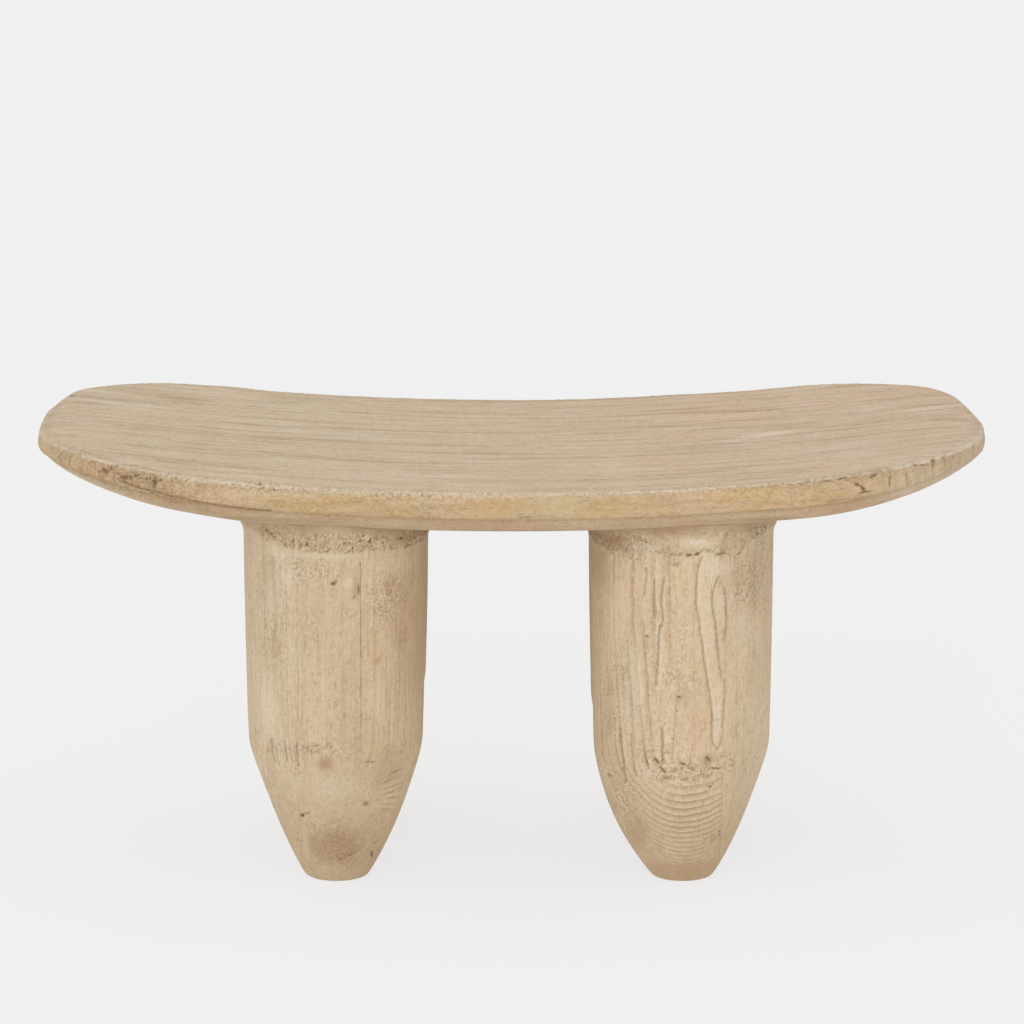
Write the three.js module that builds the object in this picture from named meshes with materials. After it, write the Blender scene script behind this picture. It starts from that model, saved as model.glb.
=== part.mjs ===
// Carved wooden stool: a long dished seat slab on four stout tapering legs.
// Sizes are in millimetres. X runs along the seat, the front is towards -Y, the feet stand on Z = 0.
import * as THREE from "three";

// Seat slab
const SEAT_LENGTH = 1000;
const SEAT_DEPTH = 467;
const DISH_FLOOR = 436; // height of the top in the middle of the dish
const DISH_RISE = 36.7; // how much higher the dish would end at the tips
const TIP_ROLL = 17; // how far the worn tips roll down again
const TIP_ROLL_POWER = 21; // a higher power keeps the roll closer to the very tip
const END_BLUNTNESS = 7.2; // how straight the long sides stay before the ends turn in

// Edge of the slab, from its rounded upper arris down to the underside
const ARRIS_RADIUS = 6.5;
const RIM_BELLY = 1.2;
const BELLY_PLACE = 0.7; // how far down the rim it is fullest
const RIM_HEIGHT = 28;
const RIM_TUCK = 1.6;
const LEDGE = 2.2; // small step in below the rim
const LEDGE_DROP = 1;
const CHAMFER_WIDTH = 26;
const CHAMFER_DROP = 17;
const UNDERSIDE_SWELL = 4; // the slab is this much thicker in the middle than at its chamfer
const END_THINNING = 0.53; // share of its thickness that the edge loses at the tips
const END_THINNING_POWER = 6.5;

// Legs: two rows of two, with the same spacing front and back
const ROW_SPACING = 236;
const LEG_TOP_RADIUS = 94.6;
const NECK_HEIGHT = 20; // height of the roughly cut cove under the seat
const SEAT_GAP = 0.4;
const FOOT_EDGE_RADIUS = 3;
const LEG_STYLES = {
  left: { x: -184.5, kneeRadius: 90.8, kneeSlope: 0.243, footRadius: 36, coveFlare: 3 },
  right: { x: 177.3, kneeRadius: 91.8, kneeSlope: 0.15, footRadius: 35, coveFlare: 5 },
};
const KNEE_HEIGHTS = {
  front: { left: 145, right: 144 },
  back: { left: 154, right: 131 },
};

// Fineness of the solids
const OUTLINE_STEPS = 84;
const OUTLINE_SAMPLES = 4000;
const ARRIS_STEPS = 3;
const CHAMFER_STEPS = 3;
const TOP_RINGS = 5;
const UNDERSIDE_RINGS = 4;
const LEG_SIDES = 36;
const TAPER_STEPS = 6;
const SHAFT_STEPS = 3;
const COVE_STEPS = 3;
const LEG_TOP_RINGS = 3;

const HALF_LENGTH = SEAT_LENGTH / 2;
const HALF_DEPTH = SEAT_DEPTH / 2;
const CHAMFER_INSET = RIM_TUCK + LEDGE + CHAMFER_WIDTH;
const EDGE_THICKNESS = RIM_HEIGHT + CHAMFER_DROP;

// Plan of the slab: long straight sides that turn into broad blunt ends.
class SeatOutline extends THREE.Curve {
  getPoint(t, target = new THREE.Vector3()) {
    const turn = t * 2 * Math.PI;
    const along = Math.cos(turn);
    const reach = Math.pow(Math.abs(along), 2 / END_BLUNTNESS);
    return target.set(HALF_LENGTH * Math.sign(along) * reach, HALF_DEPTH * Math.sin(turn), 0);
  }
}

// Height of the dished top at a place along the seat.
function topHeight(x) {
  const share = Math.abs(x) / HALF_LENGTH;
  return DISH_FLOOR + DISH_RISE * share ** 2 - TIP_ROLL * share ** TIP_ROLL_POWER;
}

// The slab's edge at a place along the seat, as a share of its thickness at the middle.
function fullness(x) {
  return 1 - END_THINNING * (Math.abs(x) / HALF_LENGTH) ** END_THINNING_POWER;
}

// Height of the underside inside its chamfer, a little thicker towards the middle of the slab.
function undersideHeight(x, y) {
  const across = 1 - (y / HALF_DEPTH) ** 2;
  const lengthwise = 1 - (x / HALF_LENGTH) ** 2;
  return topHeight(x) - EDGE_THICKNESS * fullness(x) - UNDERSIDE_SWELL * across * lengthwise;
}

// Edge section as stations: how far in from the outline, and how far below the top.
function edgeStations() {
  const stations = [];
  for (let i = 0; i <= ARRIS_STEPS; i += 1) {
    const turn = ((i / ARRIS_STEPS) * Math.PI) / 2;
    const inset = RIM_BELLY + ARRIS_RADIUS * (1 - Math.sin(turn));
    stations.push({ inset, depth: ARRIS_RADIUS * (1 - Math.cos(turn)) });
  }
  stations.push({ inset: 0, depth: RIM_HEIGHT * BELLY_PLACE });
  stations.push({ inset: RIM_TUCK, depth: RIM_HEIGHT });
  for (let i = 0; i <= CHAMFER_STEPS; i += 1) {
    const turn = ((i / CHAMFER_STEPS) * Math.PI) / 2;
    const inset = RIM_TUCK + LEDGE + CHAMFER_WIDTH * (1 - Math.cos(turn));
    stations.push({ inset, depth: RIM_HEIGHT + LEDGE_DROP + (CHAMFER_DROP - LEDGE_DROP) * Math.sin(turn) });
  }
  return stations;
}

// A plan point moved in from the outline by the same distance along and across the seat.
function insetPoint(point, inset) {
  const x = point.x * (1 - inset / HALF_LENGTH);
  const y = point.y * (1 - inset / HALF_DEPTH);
  return new THREE.Vector3(x, y, 0);
}

// Closed surface through rings of equal length, with a point at the first and the last end.
function surfaceOverRings(firstPole, rings, lastPole) {
  const count = rings[0].length;
  const points = [firstPole, ...rings.flat(), lastPole];
  const last = points.length - 1;
  const index = [];
  for (let i = 0; i < count; i += 1) {
    const next = (i + 1) % count;
    index.push(0, 1 + i, 1 + next);
    for (let ring = 0; ring < rings.length - 1; ring += 1) {
      const upper = 1 + ring * count;
      const lower = upper + count;
      index.push(upper + i, lower + i, lower + next, upper + i, lower + next, upper + next);
    }
    const end = 1 + (rings.length - 1) * count;
    index.push(end + i, last, end + next);
  }
  const geometry = new THREE.BufferGeometry().setFromPoints(points);
  geometry.setIndex(index);
  geometry.computeVertexNormals();
  return geometry;
}

function seatGeometry() {
  const outline = new SeatOutline();
  outline.arcLengthDivisions = OUTLINE_SAMPLES;
  const plan = outline.getSpacedPoints(OUTLINE_STEPS).slice(0, OUTLINE_STEPS);
  const stations = edgeStations();
  const rings = [];
  for (let i = 1; i <= TOP_RINGS; i += 1) {
    const inset = HALF_DEPTH - (HALF_DEPTH - stations[0].inset) * (i / (TOP_RINGS + 1));
    const scale = 1 - inset / HALF_DEPTH;
    rings.push(plan.map((p) => new THREE.Vector3(p.x * scale, p.y * scale, topHeight(p.x * scale))));
  }
  for (const { inset, depth } of stations) {
    rings.push(
      plan.map((p) => {
        const point = insetPoint(p, inset);
        return point.setZ(topHeight(point.x) - depth * fullness(point.x));
      }),
    );
  }
  for (let i = 1; i <= UNDERSIDE_RINGS; i += 1) {
    const scale = (1 - CHAMFER_INSET / HALF_DEPTH) * (1 - i / (UNDERSIDE_RINGS + 1));
    rings.push(
      plan.map((p) => new THREE.Vector3(p.x * scale, p.y * scale, undersideHeight(p.x * scale, p.y * scale))),
    );
  }
  const topPole = new THREE.Vector3(0, 0, topHeight(0));
  const bottomPole = new THREE.Vector3(0, 0, undersideHeight(0, 0));
  return surfaceOverRings(topPole, rings, bottomPole);
}

// Leg section from the middle of the foot up to the middle of the top, as (radius, height).
function legSection(style, kneeHeight, top) {
  const section = [new THREE.Vector2(0, 0)];
  const footEdge = style.footRadius - FOOT_EDGE_RADIUS / 2;
  section.push(new THREE.Vector2(footEdge - FOOT_EDGE_RADIUS, 0));
  section.push(new THREE.Vector2(footEdge, FOOT_EDGE_RADIUS / 2));
  const drop = style.kneeRadius - style.footRadius - style.kneeSlope * kneeHeight;
  const curve = drop / kneeHeight ** 2;
  for (let i = 1; i <= TAPER_STEPS; i += 1) {
    const height = FOOT_EDGE_RADIUS + (kneeHeight - FOOT_EDGE_RADIUS) * (i / TAPER_STEPS);
    const below = kneeHeight - height;
    const radius = style.kneeRadius - style.kneeSlope * below - curve * below * below;
    section.push(new THREE.Vector2(radius, height));
  }
  const neck = top - NECK_HEIGHT;
  for (let i = 1; i <= SHAFT_STEPS; i += 1) {
    const share = i / SHAFT_STEPS;
    const swell = 1 - (1 - share) ** 2;
    const radius = style.kneeRadius + (LEG_TOP_RADIUS - style.kneeRadius) * swell;
    section.push(new THREE.Vector2(radius, kneeHeight + (neck - kneeHeight) * share));
  }
  for (let i = 1; i <= COVE_STEPS; i += 1) {
    const share = i / COVE_STEPS;
    section.push(new THREE.Vector2(LEG_TOP_RADIUS + style.coveFlare * share ** 3, neck + NECK_HEIGHT * share));
  }
  const rim = LEG_TOP_RADIUS + style.coveFlare;
  for (let i = 1; i <= LEG_TOP_RINGS; i += 1) {
    section.push(new THREE.Vector2(rim * (1 - i / LEG_TOP_RINGS), top));
  }
  return section;
}

// A turned leg whose top is drawn up to follow the curved underside of the seat.
function legGeometry(style, kneeHeight, y) {
  const top = undersideHeight(style.x, y) - SEAT_GAP;
  const geometry = new THREE.LatheGeometry(legSection(style, kneeHeight, top), LEG_SIDES);
  geometry.rotateX(Math.PI / 2);
  const place = geometry.getAttribute("position");
  for (let i = 0; i < place.count; i += 1) {
    const share = Math.max(0, (place.getZ(i) - kneeHeight) / (top - kneeHeight));
    const lift = undersideHeight(style.x + place.getX(i), y + place.getY(i)) - SEAT_GAP - top;
    place.setZ(i, place.getZ(i) + lift * share * share);
  }
  geometry.computeVertexNormals();
  return geometry;
}

function bleachedWood(color) {
  return new THREE.MeshStandardMaterial({ color, roughness: 0.82, metalness: 0 });
}

function seat() {
  const mesh = new THREE.Mesh(seatGeometry(), bleachedWood(0xc4b096));
  mesh.name = "seat";
  return mesh;
}

function leg(row, side) {
  const style = LEG_STYLES[side];
  const y = row === "front" ? -ROW_SPACING / 2 : ROW_SPACING / 2;
  const geometry = legGeometry(style, KNEE_HEIGHTS[row][side], y);
  const mesh = new THREE.Mesh(geometry, bleachedWood(0xc9b08d));
  mesh.name = `leg_${row}_${side}`;
  mesh.position.set(style.x, y, 0);
  return mesh;
}

const stool = new THREE.Group();
stool.add(seat());
for (const row of ["front", "back"]) {
  for (const side of ["left", "right"]) {
    stool.add(leg(row, side));
  }
}

export default stool;
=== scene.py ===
"""A bleached wooden stool: a dished seat slab with broad blunt ends on four stout tapering legs.

Everything is in metres. X runs along the seat, the front faces -Y, and the feet stand on Z = 0.
"""

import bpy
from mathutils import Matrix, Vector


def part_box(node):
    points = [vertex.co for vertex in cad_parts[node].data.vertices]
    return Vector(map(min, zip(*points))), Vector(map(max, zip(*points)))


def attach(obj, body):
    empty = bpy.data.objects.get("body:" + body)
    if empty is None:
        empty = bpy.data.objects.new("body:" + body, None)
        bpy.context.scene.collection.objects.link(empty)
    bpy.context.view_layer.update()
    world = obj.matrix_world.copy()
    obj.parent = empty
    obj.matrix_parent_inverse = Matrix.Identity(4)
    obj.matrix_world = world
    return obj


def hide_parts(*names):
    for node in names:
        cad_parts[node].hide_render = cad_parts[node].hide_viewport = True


bl_info = {
    "name": "Dished Wooden Stool",
    "version": (1, 0, 0),
    "blender": (4, 5, 0),
    "location": "View3D > Sidebar > Stool",
    "description": "Builds a bleached wooden stool with a dished seat on four tapering legs",
    "category": "Add Mesh",
}

import math
from itertools import product
from typing import NamedTuple

import bpy
import numpy as np
from mathutils import Vector

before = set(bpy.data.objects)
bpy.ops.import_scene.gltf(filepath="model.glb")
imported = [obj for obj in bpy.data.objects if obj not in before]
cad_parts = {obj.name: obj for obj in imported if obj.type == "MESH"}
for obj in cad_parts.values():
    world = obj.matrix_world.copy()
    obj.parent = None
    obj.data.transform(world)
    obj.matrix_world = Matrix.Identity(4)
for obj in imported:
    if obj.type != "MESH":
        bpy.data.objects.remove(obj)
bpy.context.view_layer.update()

MM = 0.001

# The seat slab, as its solid has it
SEAT_LOW, SEAT_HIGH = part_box("seat")
HALF_LENGTH = (SEAT_HIGH.x - SEAT_LOW.x) / 2
HALF_DEPTH = (SEAT_HIGH.y - SEAT_LOW.y) / 2
DISH_FLOOR = 436 * MM
DISH_RISE = 36.7 * MM
TIP_ROLL = 17 * MM
TIP_ROLL_POWER = 21
END_BLUNTNESS = 7.2
RIM_BELLY = 1.2 * MM
BELLY_PLACE = 0.7
RIM_HEIGHT = 28 * MM
RIM_TUCK = 1.6 * MM
LEDGE_INSET = RIM_TUCK + 2.2 * MM
LEDGE_DEPTH = RIM_HEIGHT + 1.2 * MM
CHAMFER_WIDTH = 26 * MM
EDGE_THICKNESS = RIM_HEIGHT + 17 * MM
UNDERSIDE_SWELL = 4 * MM
END_THINNING = 0.53
END_THINNING_POWER = 6.5

# The legs, as their solids have them
LEG_TOP_RADIUS = 94.6 * MM
NECK_HEIGHT = 20 * MM

# Where the legs meet the seat, beyond what the solids have
FILLET = 2.8 * MM
CORNER_FLARE = 3.6 * MM  # how far the left and right sides of a leg flare out under the seat
SEAT_BITE = 0.5 * MM  # how deep a leg reaches into the seat
BED_RADIUS = 104 * MM  # the underside keeps its true form this far round a leg's middle
BED_END = 120 * MM  # the underside is as uneven as elsewhere from here on

# The front of a leg
FRONT_REACH = 10 * MM  # how far behind the leg's middle it still reaches
SEAM_TOP = 366 * MM  # height at which the glue lines have faded out under the neck

# Fineness of the seat
TOP_COLUMNS = 150
TOP_ROWS = 324
EDGE_SPOKES = 1220
UNDERSIDE_COLUMNS = 60
UNDERSIDE_ROWS = 40
OUTLINE_STEPS = 40000  # steps by which the way round the outline is measured
FRONT_CROWDING = 0.25  # how much closer together the spokes stand along the front
END_CROWDING = 0.36 * math.pi  # the higher, the closer together the columns stand at the ends
TOP_PATCH_INSET = 18 * MM
EDGE_START_INSET = 16 * MM
UNDERSIDE_INSET = 34 * MM
CORNER_PLACE = 0.6  # where the corners of a plan grid lie, as a share of the half depth

# The heart of the seat's tree, seen from its end, and the width of its growth rings
SEAT_HEART_Y = 1.15
SEAT_HEART_Z = 0.62
SEAT_RING = 5.6 * MM
TIP_SWING = 3.5  # how far the rings swing back at the tips, as a multiple of how far the tips roll down

# The relief and the finish
HIGHEST_RELIEF = 0.3 * MM  # how far relief may stand proud of the plain form
MARK_FIRMNESS = 1.4  # how sharply a mark ends
LINE_REACH = 12 * MM  # how far from a line it may still show
# The light band beside a line is a painted highlight on the line's raised side
LIGHT_BAND_PLACE = 3.2 * MM  # how far right of a line its light band lies
LIGHT_BAND_WIDTH = 1.8 * MM
BUMP_HEIGHT = 0.3 * MM
WOOD_ROUGHNESS = 0.8


class Mark(NamedTuple):
    """A dent or stain: its place, its half sizes, its turn in degrees, its dent and its strength."""

    across: float
    up: float
    length: float
    width: float
    turn: float
    dent: float
    strength: float


class Line(NamedTuple):
    """A long check or ring edge: half width, depth, darkness, the painted highlight beside it, and its
    route.
    """

    width: float
    dent: float
    strength: float
    light: float
    route: tuple


class Board(NamedTuple):
    """A board of a leg, up to its right edge.

    lean is how far that edge strays by the foot. heart is the middle of its tree, and ring the width of
    its growth rings. lines and relief are how dark and how deep the rings are. seam is the glue line at the
    right edge, which fades out below seam_end.
    """

    edge: float
    lean: float
    heart_x: float
    heart_y: float
    ring: float
    lines: float
    relief: float
    tone: tuple
    seam: float = 0.0
    seam_end: float = 0.0


class LegStyle(NamedTuple):
    """How one leg is turned, and what its boards and its front show.

    Rings hardly show in worn patches, and all show in bold ones. Granular patches are rough and speckled.
    """

    piece: str
    node: str
    knee_radius: float
    knee_slope: float
    foot_radius: float
    foot_trim: float
    foot_edge: float
    cove_flare: float
    knee_height: float
    sway_foot: float
    sway_mid: float
    columns: int
    fine: bool
    salt: int
    wander: float
    boards: tuple
    neck_line: tuple = ()
    marks: tuple = ()
    lines: tuple = ()
    pale: tuple = ()
    brown: tuple = ()
    worn: tuple = ()
    bold: tuple = ()
    granular: tuple = ()


def dents(*rows):
    """Marks from rows in millimetres, apart from the turn and the strength."""
    return tuple(
        Mark(across * MM, up * MM, length * MM, width * MM, turn, dent * MM, strength)
        for across, up, length, width, turn, dent, strength in rows
    )


def patches(*rows):
    """Marks without a dent, from rows of across, up, length and width, the strength, and the turn if any."""
    return dents(*((*row[:4], row[5] if len(row) > 5 else 0, 0, row[4]) for row in rows))


def route(*points):
    """A route from points in millimetres."""
    return tuple((across * MM, up * MM) for across, up in points)


def check(width, dent, strength, light, *points):
    """A line from a width, a dent and points in millimetres."""
    return Line(width * MM, dent * MM, strength, light, route(*points))


# Noise


def hashed(cells, salt):
    """A repeatable number from -1 to 1 for each row of whole numbers."""
    cells = cells.astype(np.uint32)
    mixed = cells[:, 0] * np.uint32(73856093) ^ cells[:, 1] * np.uint32(19349663)
    mixed ^= cells[:, 2] * np.uint32(83492791) ^ np.uint32(salt * 7919 + 12345)
    for shift, factor in ((15, 2146121005), (13, 2221713035)):
        mixed = (mixed ^ (mixed >> np.uint32(shift))) * np.uint32(factor)
    return (mixed ^ (mixed >> np.uint32(16))) / 2**31 - 1


def noise(places, salt=0):
    """Smooth gradient noise, about -1 to 1, at each row of an (n, 3) array."""
    cells = np.floor(places).astype(np.int64)
    within = places - cells
    fade = within**3 * (within * (within * 6 - 15) + 10)
    total = np.zeros(len(places))
    for corner in product((0, 1), repeat=3):
        share = np.prod(np.where(corner, fade, 1 - fade), axis=1)
        toward = within - corner
        slope = sum(hashed(cells + corner, salt * 3 + axis) * toward[:, axis] for axis in range(3))
        total += share * slope
    return total * 1.5


def layered(places, scale, octaves=3, salt=0):
    """Noise summed over octaves. scale holds how many waves fit in a metre along each axis."""
    total = np.zeros(len(places))
    for octave in range(octaves):
        total += noise(places * np.array(scale) * 2**octave, salt + 11 * octave) / 2**octave
    return total


def smooth(low, high, value):
    """Rises smoothly from 0 at low to 1 at high."""
    share = np.clip((value - low) / (high - low), 0, 1)
    return share * share * (3 - 2 * share)


def hump(value, centre, width):
    """A smooth hump of height 1 at centre."""
    return np.exp(-(((value - centre) / width) ** 2))


def ring_strength(growth, along, reach, rarity, salt):
    """How strongly each growth ring shows along the wood, from 0 to 1. Few do where rarity is high."""
    ring = np.floor(growth)
    places = np.stack([ring * 0.83, along * reach, ring * 0.37], axis=1)
    return smooth(rarity, rarity + 0.6, noise(places, salt))


def ring_groove(growth):
    """The soft part of each growth ring, worn down to 1 at its bottom, with a steep far side."""
    part = growth % 1
    return smooth(0.1, 0.8, part) * (1 - smooth(0.86, 1, part))


# Marks


def marked(across, up, marks, ragged):
    """Depth of dents, and strength, that the marks leave at places given as distances over the surface."""
    dent = np.zeros(across.shape)
    strength = np.zeros(across.shape)
    for mark in marks:
        turn = math.radians(mark.turn)
        right = across - mark.across
        rise = up - mark.up
        along = (right * math.cos(turn) + rise * math.sin(turn)) / mark.length
        side = (rise * math.cos(turn) - right * math.sin(turn)) / mark.width
        share = np.exp(-((along**2 + side**2) ** MARK_FIRMNESS) * (1 + ragged))
        dent += mark.dent * share
        strength = np.maximum(strength, mark.strength * share)
    return dent, strength


def curve_through(points, steps=6):
    """Places on a smooth curve through points."""
    points = np.array(points)
    points = np.concatenate([[2 * points[0] - points[1]], points, [2 * points[-1] - points[-2]]])
    share = np.linspace(0, 1, steps, endpoint=False)[:, None]
    places = []
    for before, start, end, after in zip(points, points[1:], points[2:], points[3:]):
        bend = 2 * before - 5 * start + 4 * end - after
        twist = 3 * (start - end) + after - before
        places.append(start + share * (end - before + share * (bend + share * twist)) / 2)
    return np.concatenate([*places, points[-2:-1]])


def lined(across, up, lines, ragged):
    """Depth of dents, strength, and a painted highlight beside them, that long lines leave."""
    dent = np.zeros(across.shape)
    strength = np.zeros(across.shape)
    light = np.zeros(across.shape)
    for line in lines:
        curve = curve_through(line.route)
        low = curve.min(axis=0) - LINE_REACH
        high = curve.max(axis=0) + LINE_REACH
        near = (across > low[0]) & (across < high[0]) & (up > low[1]) & (up < high[1])
        near = np.flatnonzero(near)
        places = np.stack([across[near] + ragged[near] * 0.9 * line.width, up[near]], axis=1)[:, None]
        step = np.diff(curve, axis=0)
        offset = places - curve[:-1]
        share = np.clip((offset * step).sum(axis=2) / (step**2).sum(axis=1), 0, 1)
        offset -= share[..., None] * step
        distance = np.hypot(offset[..., 0], offset[..., 1])
        nearest = (np.arange(len(near)), distance.argmin(axis=1))
        core = hump(distance[nearest], 0, line.width)
        beside = distance[nearest] * np.sign(offset[..., 0][nearest])
        dent[near] += line.dent * core
        patchy = np.clip(0.8 + 0.5 * ragged[near], 0.35, 1)
        strength[near] = np.maximum(strength[near], line.strength * core * patchy)
        band = hump(beside, LIGHT_BAND_PLACE, LIGHT_BAND_WIDTH)
        light[near] = np.maximum(light[near], line.light * band)
    return dent, strength, light


def scattered_marks(count, salt, reach, low, high, strength):
    """Small marks spread at random over a strip of surface."""
    draw = np.random.default_rng(salt)
    ranges = ((-reach, reach), (low, high), (1.5, 5.5), (1.1, 2.2), (-35, 35), (0.4, 1))
    marks = []
    for _ in range(count):
        across, up, half_length, half_width, turn, share = (draw.uniform(*limits) for limits in ranges)
        dent = 0.7 * MM * share
        marks.append(Mark(across, up, half_length * MM, half_width * MM, turn, dent, strength * share))
    return tuple(marks)


# Mesh


class Skin:
    """Gathers points and faces into one closed mesh."""

    def __init__(self):
        self.points = []
        self.faces = []
        self.count = 0

    def add(self, *coordinates):
        """Adds points from arrays of x, y and z, and returns their numbers in the same layout."""
        points = np.stack(np.broadcast_arrays(*coordinates), axis=-1)
        numbers = self.count + np.arange(points[..., 0].size)
        self.points.append(points.reshape(-1, 3))
        self.count += numbers.size
        return numbers.reshape(points.shape[:-1])

    def weave(self, grid):
        """Quads between neighbouring rows and columns of a grid of point numbers."""
        corners = (grid[:-1, :-1], grid[1:, :-1], grid[1:, 1:], grid[:-1, 1:])
        self.faces += np.stack(corners, axis=-1).reshape(-1, 4).tolist()

    def fan(self, tip, ring):
        """Triangles from one point to the pairs of a closed ring."""
        self.faces += [[int(tip), int(a), int(b)] for a, b in zip(ring, np.roll(ring, -1))]

    def zip(self, inner, inner_turn, outer, outer_turn, flip=False):
        """Triangles between two closed loops that run the same way round, with turns from 0 to 1."""
        i = j = 0
        while i < len(inner) or j < len(outer):
            here_inner = int(inner[i % len(inner)])
            here_outer = int(outer[j % len(outer)])
            next_inner = inner_turn[i + 1] if i + 1 < len(inner) else 1 + (i + 1 > len(inner))
            next_outer = outer_turn[j + 1] if j + 1 < len(outer) else 1 + (j + 1 > len(outer))
            if next_outer <= next_inner:
                j += 1
                face = [here_inner, here_outer, int(outer[j % len(outer)])]
            else:
                i += 1
                face = [here_inner, here_outer, int(inner[i % len(inner)])]
            self.faces.append(face[::-1] if flip else face)

    def mesh(self, name):
        """The mesh so far, smoothly shaded."""
        data = bpy.data.meshes.new(name)
        data.from_pydata(np.concatenate(self.points).tolist(), [], self.faces)
        data.shade_smooth()
        return data


def read(data, name):
    """The vector called name of each point of a mesh."""
    numbers = np.zeros(len(data.vertices) * 3)
    data.vertices.foreach_get(name, numbers)
    return numbers.reshape(-1, 3)


def store(data, values):
    """Keeps named numbers at a mesh's points for its material. Points past the last number get 0."""
    for name, numbers in values.items():
        padded = np.zeros(len(data.vertices), np.float32)
        padded[: len(numbers)] = numbers
        attribute = data.attributes.new(name, "FLOAT", "POINT")
        attribute.data.foreach_set("value", padded)


def middle_of(node):
    """The middle of a node's box in plan."""
    low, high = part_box(node)
    return (low.x + high.x) / 2, (low.y + high.y) / 2


def piece_from(data, material, node):
    """The finished piece: it takes the node's place and moves with the whole stool."""
    data.materials.append(material)
    piece = bpy.data.objects.new(data.name, data)
    bpy.context.scene.collection.objects.link(piece)
    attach(piece, "root")
    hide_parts(node)
    return piece


# Seat form


def top_height(x):
    """Height of the dished top along the seat."""
    share = np.abs(x) / HALF_LENGTH
    return DISH_FLOOR + DISH_RISE * share**2 - TIP_ROLL * share**TIP_ROLL_POWER


def fullness(x):
    """How thick the edge is along the seat, as a share of the middle."""
    return 1 - END_THINNING * (np.abs(x) / HALF_LENGTH) ** END_THINNING_POWER


# Swells of the hand-hewn slab in millimetres: the place along the seat, the half width and the height
BACK_RISES = ((-310, 45, 1.7), (320, 50, 2.1), (190, 90, 1.6), (-375, 45, 1.3), (370, 30, 1.1))
FRONT_SWELLS = ((325, 60, 1.9), (-270, 40, 1.8), (0, 150, 0.6))


def proud(x, swells):
    """How far these swells stand proud along the seat."""
    return sum(amount * MM * hump(x, place * MM, width * MM) for place, width, amount in swells)


def hewn(x, y, depth):
    """Where a plan place this far below the top lies in the slab, a little uneven from hand work."""
    # The plan is a little fuller or leaner near its corners
    back = 1 + 0.09 * hump(x, -0.473, 0.018) + 0.5 * smooth(0.487, 0.5, -x) - 0.37 * smooth(0.473, 0.5, x)
    front = 1 - 0.035 * hump(x, -0.42, 0.05) + 0.1 * smooth(0.48, 0.5, -x) + 0.065 * smooth(0.47, 0.49, x)
    share = y / HALF_DEPTH
    z = top_height(x) - depth * fullness(x) + proud(x, BACK_RISES) * smooth(0.2, 1, share)
    z = z - proud(x, FRONT_SWELLS) * smooth(0.3, 0.9, -share) * np.clip(depth / EDGE_THICKNESS, 0, 1)
    # The ends are cut a little askew
    shorter = (0.7 - 1.3 * hump(share, 0.28, 0.17)) * smooth(0.47, 0.5, -x) - 1.3 * smooth(0.47, 0.5, x)
    return x + shorter * MM, y * np.where(y > 0, back, front), z


def underside_depth(x, y):
    """Depth of the underside below the top, inside the chamfer."""
    swell = (1 - (y / HALF_DEPTH) ** 2) * (1 - (x / HALF_LENGTH) ** 2)
    return EDGE_THICKNESS + UNDERSIDE_SWELL * swell / fullness(x)


def chamfer_depth(inset):
    """Depth of the hollow chamfer below the top, this far in from the outline."""
    share = np.clip((inset - LEDGE_INSET) / CHAMFER_WIDTH, 0, 1)
    return LEDGE_DEPTH + (EDGE_THICKNESS - LEDGE_DEPTH) * np.sqrt(1 - (1 - share) ** 2)


def slab_bottom(x, y):
    """Height of the slab's lower side above a place in plan."""
    reach = HALF_DEPTH * np.sqrt(1 - (np.abs(x) / HALF_LENGTH) ** END_BLUNTNESS)
    inset = reach - np.abs(y)
    inside = smooth(LEDGE_INSET, LEDGE_INSET + CHAMFER_WIDTH, inset)
    depth = chamfer_depth(inset) + (underside_depth(x, y) - EDGE_THICKNESS) * inside
    return hewn(x, y, depth)[2]


def turn_of(x, y, inset):
    """Where a point of an inset outline lies on the way round, from 0 to 1."""
    along = np.clip(np.abs(x) / (HALF_LENGTH - inset), 0, 1) ** (END_BLUNTNESS / 2)
    return np.arctan2(y / (HALF_DEPTH - inset), np.sign(x) * along) / (2 * math.pi) % 1


def spaced_outline(count):
    """Points round the plan of the seat, closer together along the front than along the back."""
    turn = np.linspace(0, 2 * math.pi, OUTLINE_STEPS + 1)
    x = HALF_LENGTH * np.sign(np.cos(turn)) * np.abs(np.cos(turn)) ** (2 / END_BLUNTNESS)
    y = HALF_DEPTH * np.sin(turn)
    walked = np.concatenate([[0], np.cumsum(np.hypot(np.diff(x), np.diff(y)))])
    share = np.arange(count) / count
    share = share + FRONT_CROWDING * (1 - np.cos(2 * math.pi * share)) / (2 * math.pi)
    stops = share * walked[-1]
    return np.interp(stops, walked, x), np.interp(stops, walked, y)


def plan_patch(columns, rows, inset):
    """A grid of plan places that fills the inset outline, its rows along the seat."""
    s = np.sin(np.linspace(-END_CROWDING, END_CROWDING, columns + 1)) / math.sin(END_CROWDING)
    t = np.linspace(-1, 1, rows + 1)[:, None]
    corner_reach = (1 - CORNER_PLACE**2) ** (1 / END_BLUNTNESS)
    x = s * (1 - (CORNER_PLACE * t) ** 2) ** (1 / END_BLUNTNESS)
    y = t * np.sqrt(1 - np.abs(s * corner_reach) ** END_BLUNTNESS)
    return x * (HALF_LENGTH - inset), y * (HALF_DEPTH - inset)


def border(grid):
    """The outer loop of a grid of point numbers, once round from the middle of its last column."""
    half = grid.shape[0] // 2
    sides = (grid[half:-1, -1], grid[-1, :0:-1], grid[:0:-1, 0], grid[0, :-1], grid[:half, -1])
    return np.concatenate(sides)


def arris_radius(settings, x, y):
    """Radius of the upper edge: worn over at the front left and crisper at the front right."""
    worn = 3.6 * MM * hump(x, -0.26, 0.09) * (y < 0)
    crisp = 2.4 * MM * hump(x, 0.29, 0.1) * (y < 0)
    drift = 1.3 * MM * noise(np.stack([x * 11, y * 11, x * 0], axis=1), 5)
    return np.clip(settings.arris + worn - crisp + drift, 3 * MM, 12 * MM)


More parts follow.
